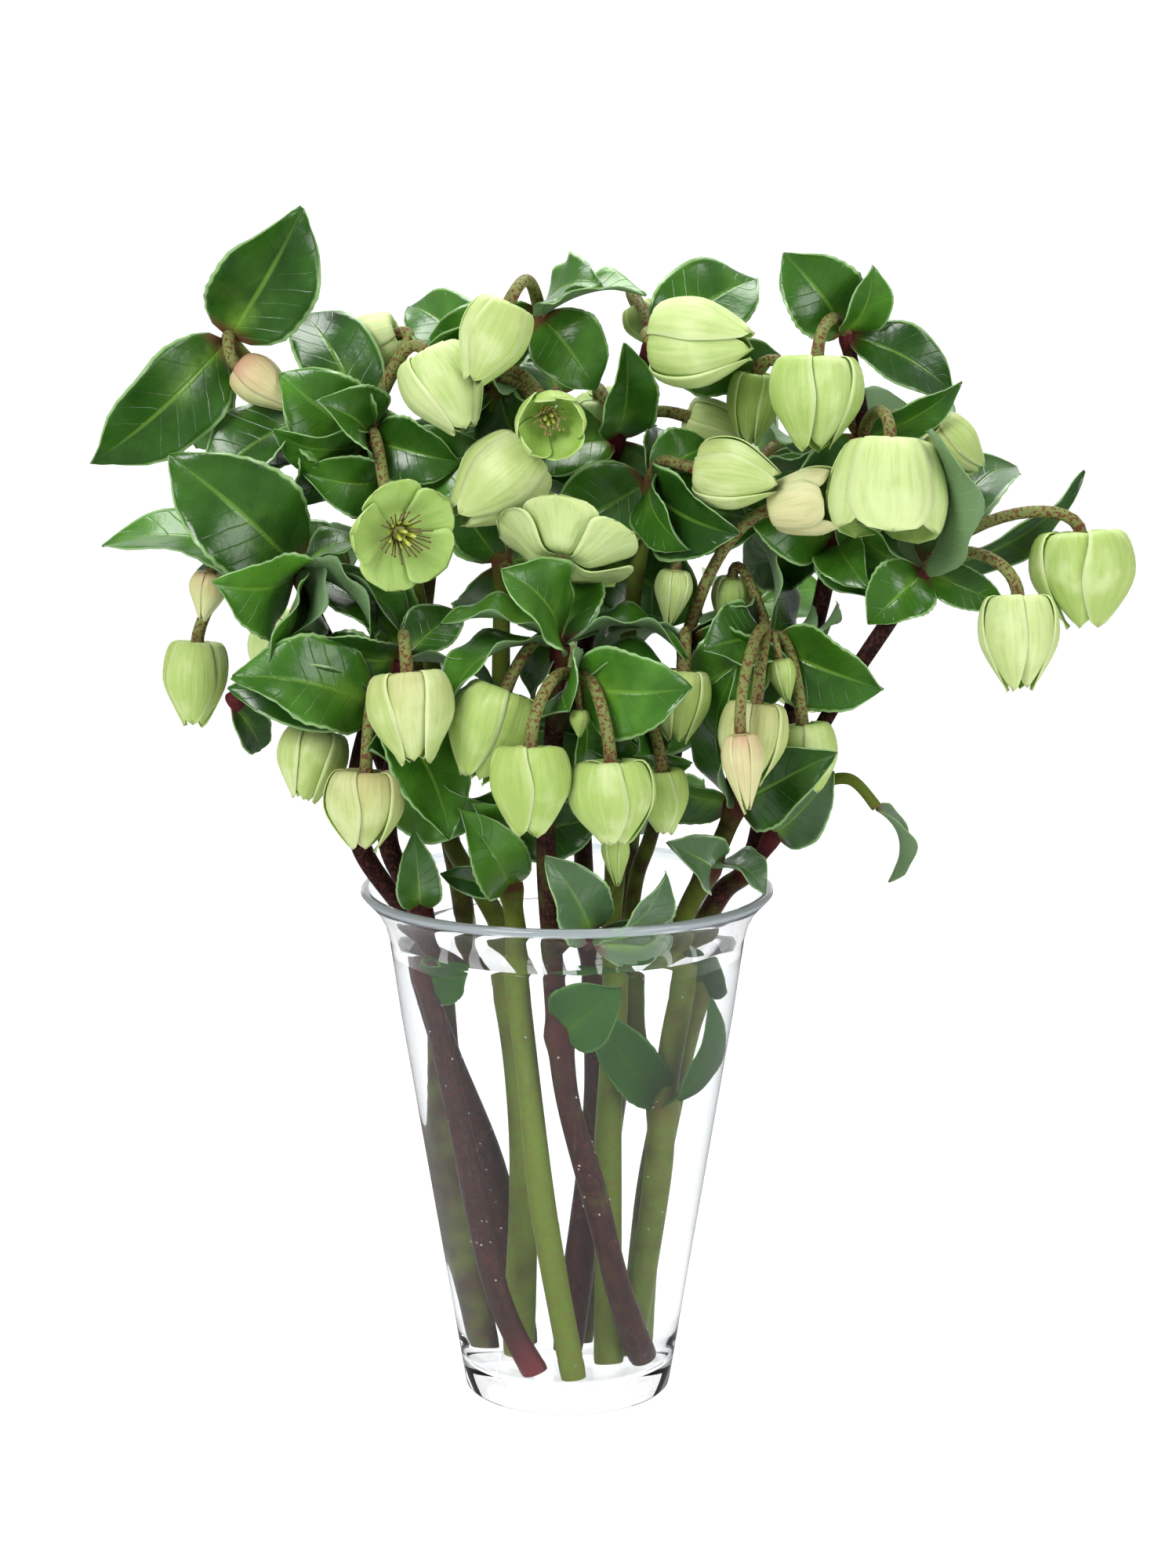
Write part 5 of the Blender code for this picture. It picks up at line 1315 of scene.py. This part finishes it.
draw = random.Random(8)
for name, entry in blooms.items():
    node, place, heading, kind, radius, length = entry
    root, axis, turn, number = hangings[name]
    usual = [draw.uniform(*limits) for limits in bloomShape["tints"]]
    blush, fade, light = bloomTintsAndPaintedLight.get(name, usual)
    group = Gather()
    for k in range(bloomShape["sepals"]):
        verts, spread = sepalSkin(kind, radius, length, k, draw)
        half = len(verts) // 2
        marks = np.zeros((len(verts), 2))
        marks[half:, 0] = 1.0
        # lightness per sepal: the bloom's painted light or shade, varied at random
        marks[:, 1] = min(max(light + draw.uniform(-0.15, 0.15), 0.0), 1.0)
        pink = np.zeros((len(verts), 2))
        pink[:, 0] = blush * draw.uniform(0.5, 1.2)
        pink[:, 1] = fade
        group.add(placed(verts, root, turn), sepalFaces, spread=spread, marks=marks, blush=pink)
    verts, faces = receptacle(radius)
    count = len(verts)
    group.add(placed(verts, root, turn), faces, spread=np.full((count, 2), (0.5, 0.1)),
              marks=np.full((count, 2), (0.0, 0.1)), blush=np.full((count, 2), (max(blush, 0.3), 0.0)))
    fit(group.build(name + "_sepals", sepalFinish), "sepal", name)
print("blooms made")


# Rings of stamens, carpels and nectaries, and the bubbles on the stems, each by a geometry tree
def ringTree():
    tree, m, keys, w = treeWith("ring_of_threads", [
        ("Count", "Int"), ("Ring", "Float"), ("Reach", "Float"), ("Lean", "Float"), ("Thick", "Float"),
        ("Head", "Float"), ("Seed", "Int"), ("Place", "Vector"), ("Turn", "Vector"),
        ("Thread finish", "Material"), ("Head finish", "Material")])
    points = m.node("GeometryNodeMeshCircle", {}, {"Vertices": w["Count"], "Radius": w["Ring"]})
    vector = "ShaderNodeVectorMath"
    outward = m.node(vector, {"operation": "NORMALIZE"}, {0: m.node("GeometryNodeInputPosition")})
    leaning = m.node("FunctionNodeRandomValue", {"data_type": "FLOAT"},
                     {2: 0.15, 3: 1.0, "Seed": w["Seed"]}, 1)
    outward = m.node(vector, {"operation": "SCALE"}, {0: outward, "Scale": leaning * w["Lean"]})
    heading = m.node(vector, {"operation": "ADD"}, {0: outward, 1: (0.0, 0.0, 1.0)})
    heading = m.node(vector, {"operation": "NORMALIZE"}, {0: heading})
    longer = m.node("FunctionNodeRandomValue", {"data_type": "FLOAT"},
                    {2: 0.75, 3: 1.1, "Seed": w["Seed"] + 1.0}, 1)
    reach = longer * w["Reach"]
    turned = m.node("FunctionNodeAlignRotationToVector", {"axis": "Z"}, {"Vector": heading})
    thread = m.node("GeometryNodeMeshCylinder", {}, {"Vertices": 6, "Side Segments": 1,
                                                     "Radius": 1.0, "Depth": 1.0})
    thread = m.node("GeometryNodeTransform", {}, {0: thread, "Translation": (0.0, 0.0, 0.5)})
    size = m.node("ShaderNodeCombineXYZ", {}, {0: w["Thick"], 1: w["Thick"], 2: reach})
    threads = m.node("GeometryNodeInstanceOnPoints", {}, {"Points": points, "Instance": thread,
                                                          "Rotation": turned, "Scale": size})
    threads = m.node("GeometryNodeSetMaterial", {}, {0: threads, "Material": w["Thread finish"]})
    step = m.node(vector, {"operation": "SCALE"}, {0: heading, "Scale": reach})
    ends = m.node("GeometryNodeSetPosition", {}, {0: points, "Offset": step})
    head = m.node("GeometryNodeMeshIcoSphere", {}, {"Radius": 1.0, "Subdivisions": 2})
    headSize = m.node("ShaderNodeCombineXYZ", {}, {0: w["Head"] * 0.6, 1: w["Head"], 2: w["Head"] * 1.6})
    heads = m.node("GeometryNodeInstanceOnPoints", {}, {"Points": ends, "Instance": head,
                                                        "Rotation": turned, "Scale": headSize})
    heads = m.node("GeometryNodeSetMaterial", {}, {0: heads, "Material": w["Head finish"]})
    both = m.node("GeometryNodeJoinGeometry", {}, {0: threads})
    tree.links.new(heads.socket, both.socket.node.inputs[0])
    moved = m.node("GeometryNodeTransform", {}, {0: both, "Translation": w["Place"],
                                                 "Rotation": w["Turn"]})
    real = m.node("GeometryNodeRealizeInstances", {}, {0: moved})
    endTree(tree, m.node("GeometryNodeSetShadeSmooth", {}, {0: real}))
    return tree, keys


ringOfThreads, ringKeys = ringTree()
firstSeed = 4
innerParts = {  # name: (count, ring, reach, lean, thick, head, finish of thread, finish of head)
    "stamens": (34, 2.2, 0.50, 0.75, 0.18, 0.62, filamentFinish, antherFinish),
    "spent_stamens": (30, 2.2, 0.55, 1.3, 0.24, 0.45, spentFinish, spentFinish),
    "carpels": (4, 0.9, 0.46, 0.25, 0.75, 0.5, nectaryFinish, filamentFinish),
    "nectaries": (11, 3.2, 0.22, 0.7, 0.55, 0.7, nectaryFinish, nectaryFinish),
}
openBlooms = {
    "bloom_07": ("spent_stamens", "carpels", "nectaries"),
    "bloom_08": ("stamens", "carpels"),
    "bloom_10": ("stamens", "carpels", "nectaries"),
    "bloom_11": ("stamens", "carpels"),
    "bloom_17": ("stamens", "carpels"),
    "bloom_45": ("stamens", "carpels"),
}
for bloomName, parts in openBlooms.items():
    root, axis, turn, number = hangings[bloomName]
    radius = blooms[bloomName][4]
    for part in parts:
        count, ring, reach, lean, thick, head, threadFinish, headFinish = innerParts[part]
        values = {"Count": count, "Ring": ring * mm, "Reach": reach * radius * mm, "Lean": lean,
                  "Thick": thick * mm, "Head": head * mm, "Seed": number + firstSeed,
                  "Place": tuple(root * mm), "Turn": tuple(turn.to_euler()),
                  "Thread finish": threadFinish, "Head finish": headFinish}
        title = bloomName + "_" + part
        piece = grow(linked(title, bpy.data.meshes.new(title)), ringOfThreads, ringKeys, values)
        fit(piece, "sepal", bloomName)


def bubbleTree():
    tree, m, keys, w = treeWith("bubbles_on_stems", [
        ("Density", "Float"), ("Level", "Float"), ("Smallest", "Float"), ("Largest", "Float"),
        ("Seed", "Int"), ("Finish", "Material")])
    height = m.node("ShaderNodeSeparateXYZ", {}, {0: m.node("GeometryNodeInputPosition")}, 2)
    below = m.node("FunctionNodeCompare", {"data_type": "FLOAT", "operation": "LESS_THAN"},
                   {0: height, 1: w["Level"]})
    points = m.node("GeometryNodeDistributePointsOnFaces", {}, {"Mesh": w["Geometry"], "Selection": below,
                                                                "Density": w["Density"],
                                                                "Seed": w["Seed"]})
    ball = m.node("GeometryNodeMeshIcoSphere", {}, {"Radius": 1.0, "Subdivisions": 2})
    size = m.node("FunctionNodeRandomValue", {"data_type": "FLOAT"},
                  {2: w["Smallest"], 3: w["Largest"], "Seed": w["Seed"]}, 1)
    balls = m.node("GeometryNodeInstanceOnPoints", {}, {"Points": points, "Instance": ball,
                                                        "Scale": size})
    smooth = m.node("GeometryNodeSetShadeSmooth", {}, {0: m.node("GeometryNodeRealizeInstances", {},
                                                                 {0: balls})})
    endTree(tree, m.node("GeometryNodeSetMaterial", {}, {0: smooth, "Material": w["Finish"]}))
    return tree, keys


bubblesOnStems, bubbleKeys = bubbleTree()
bubbleShape = {"Level": 176.0, "Smallest": 0.12, "Largest": 0.42}
bubbleDensity = {"dark_left_stem": 9000.0, "red_end_stem": 6000.0, "green_stem": 4000.0,
                 "brown_stem": 7000.0, "right_green_stem": 5000.0, "right_leaning_stem": 5000.0}
for seed, (name, density) in enumerate(bubbleDensity.items()):
    values = {label: size * mm for label, size in bubbleShape.items()}
    values.update({"Density": density, "Seed": seed, "Finish": bubblePaintedGlintFinish})
    piece = linked(name + "_bubbles", stemPieces[name].data.copy())
    fit(grow(piece, bubblesOnStems, bubbleKeys, values), "water")
print("stamens and bubbles made")


# Vase and water
vaseShape = {
    "outside": [(0.0, 0.0), (30.0, 0.0), (36.0, 0.0), (38.6, 0.8), (39.8, 2.0), (41.2, 10.4), (43.6, 25.6),
                (46.8, 45.6), (51.8, 76.2), (57.4, 110.6), (63.8, 150.0), (66.3, 168.0), (68.0, 180.0),
                (69.6, 186.0), (72.0, 190.5), (75.0, 194.2), (78.0, 197.2), (78.7, 198.1), (78.5, 199.2),
                (77.6, 200.0), (76.4, 200.2), (75.3, 199.4), (72.9, 197.1), (70.4, 194.6), (67.6, 189.6),
                (65.6, 183.6), (63.4, 168.4), (60.9, 150.0), (54.6, 111.6), (49.3, 79.4), (44.0, 47.0),
                (40.6, 26.2), (38.9, 16.0), (37.2, 12.8), (34.0, 11.6), (20.0, 11.1), (0.0, 11.0)],
    "water": [(0.0, 10.9), (20.0, 11.0), (34.0, 11.5), (37.3, 12.7), (39.0, 16.0), (40.7, 26.2),
              (44.1, 47.0), (49.4, 79.4), (54.7, 111.6), (61.0, 150.0), (63.5, 168.4), (64.9, 179.2),
              (64.2, 180.6), (62.0, 180.1), (40.0, 180.0), (0.0, 180.0)],
    "sides": 144,
    "rimFrom": 196.5,  # height above which the glass has the rim's finish, with painted light
}


def clearPiece(name, profile, finish, slot, node):
    body = Gather()
    body.add(*revolved(vaseShape[profile], vaseShape["sides"]))
    piece = fit(body.build(name, finish), slot, node)
    piece.visible_shadow = False  # light reaches the stems through the clear pieces
    return piece


vase = clearPiece("vase_body", "outside", glassFinish, "glass", "vase")
vase.data.materials.append(rimPaintedLightFinish)
for face in vase.data.polygons:
    if face.center.z > vaseShape["rimFrom"] * mm:
        face.material_index = 1
clearPiece("water_body", "water", waterFinish, "water", "water")
print("vase made")


# Stage, light and camera, in metres
stageLook = {
    "floor": rgb(0.42, 0.42, 0.42),
    "floorGlow": 0.68,
    "floorCorners": [(-6, -4, 0), (6, -4, 0), (6, 8, 0), (-6, 8, 0)],
    "wallDistance": 3.2,
    "wallHeights": (-0.1, 4.0),
    "wallSteps": 12,
    "walls": {  # name: (first angle, last angle, glow)
        "back_wall": (66.0, 114.0, 1.15),
        "right_wall": (-20.0, 66.0, 0.45),
        "left_wall": (114.0, 200.0, 0.45),
    },
    "world": 0.2,
    "aim": (0.0, 0.0, 0.28),
    "lights": {  # name: (place, width, height, power)
        "key_light": ((-0.9, -1.3, 1.3), 0.8, 0.8, 28.0),
        "fill_light": ((1.3, -1.0, 0.7), 0.8, 1.0, 12.0),
        "top_light": ((0.0, 0.5, 1.5), 1.2, 0.8, 22.0),
    },
    "lens": 79.87,
    "cameraPlace": (0.008, -1.3, 0.4845),
    "cameraAim": (0.008, 0.0, 0.239),
}


def glowing(name, colour, roughness, glow):
    return newMaterial(name, {"Base Color": colour, "Roughness": roughness,
                              "Emission Color": rgb(1.0, 1.0, 1.0), "Emission Strength": glow})[0]


def sheet(name, corners, faces, material):
    mesh = bpy.data.meshes.new(name)
    mesh.from_pydata(corners, [], faces)
    mesh.materials.append(material)
    return linked(name, mesh)


def curvedWall(name, start, end, glow):  # upright screen round the vase, angles in degrees
    reach, steps = stageLook["wallDistance"], stageLook["wallSteps"]
    corners = []
    for k in range(steps + 1):
        angle = math.radians(start + (end - start) * k / steps)
        corners += [(reach * math.cos(angle), reach * math.sin(angle), z) for z in stageLook["wallHeights"]]
    faces = [(2 * k, 2 * k + 1, 2 * k + 3, 2 * k + 2) for k in range(steps)]
    return sheet(name, corners, faces, glowing(name, rgb(0.0, 0.0, 0.0), 1.0, glow))


def pointAt(item, place, aim):
    item.location = place
    item.rotation_euler = (Vector(aim) - Vector(place)).to_track_quat("-Z", "Y").to_euler()


paper = glowing("paper", stageLook["floor"], 0.9, stageLook["floorGlow"])
floor = sheet("floor", stageLook["floorCorners"], [(0, 1, 2, 3)], paper)
floor.visible_glossy = False  # the clear vase doesn't mirror the bright floor
[curvedWall(name, *wall) for name, wall in stageLook["walls"].items()]

world = bpy.context.scene.world or bpy.data.worlds.new("studio")
bpy.context.scene.world = world
world.use_nodes = True
background = world.node_tree.nodes["Background"]
background.inputs["Color"].default_value = rgb(1.0, 1.0, 1.0)
background.inputs["Strength"].default_value = stageLook["world"]

for name, (place, width, height, power) in stageLook["lights"].items():
    light = bpy.data.lights.new(name, "AREA")
    light.shape = "RECTANGLE"
    light.size = width
    light.size_y = height
    light.energy = power
    pointAt(linked(name, light), place, stageLook["aim"])

camera = bpy.data.cameras.new("camera")
camera.lens = stageLook["lens"]
camera.sensor_width = 36.0
camera.clip_end = 50.0
viewer = linked("camera", camera)
pointAt(viewer, stageLook["cameraPlace"], stageLook["cameraAim"])
bpy.context.scene.camera = viewer
bpy.context.scene.view_settings.view_transform = "Standard"
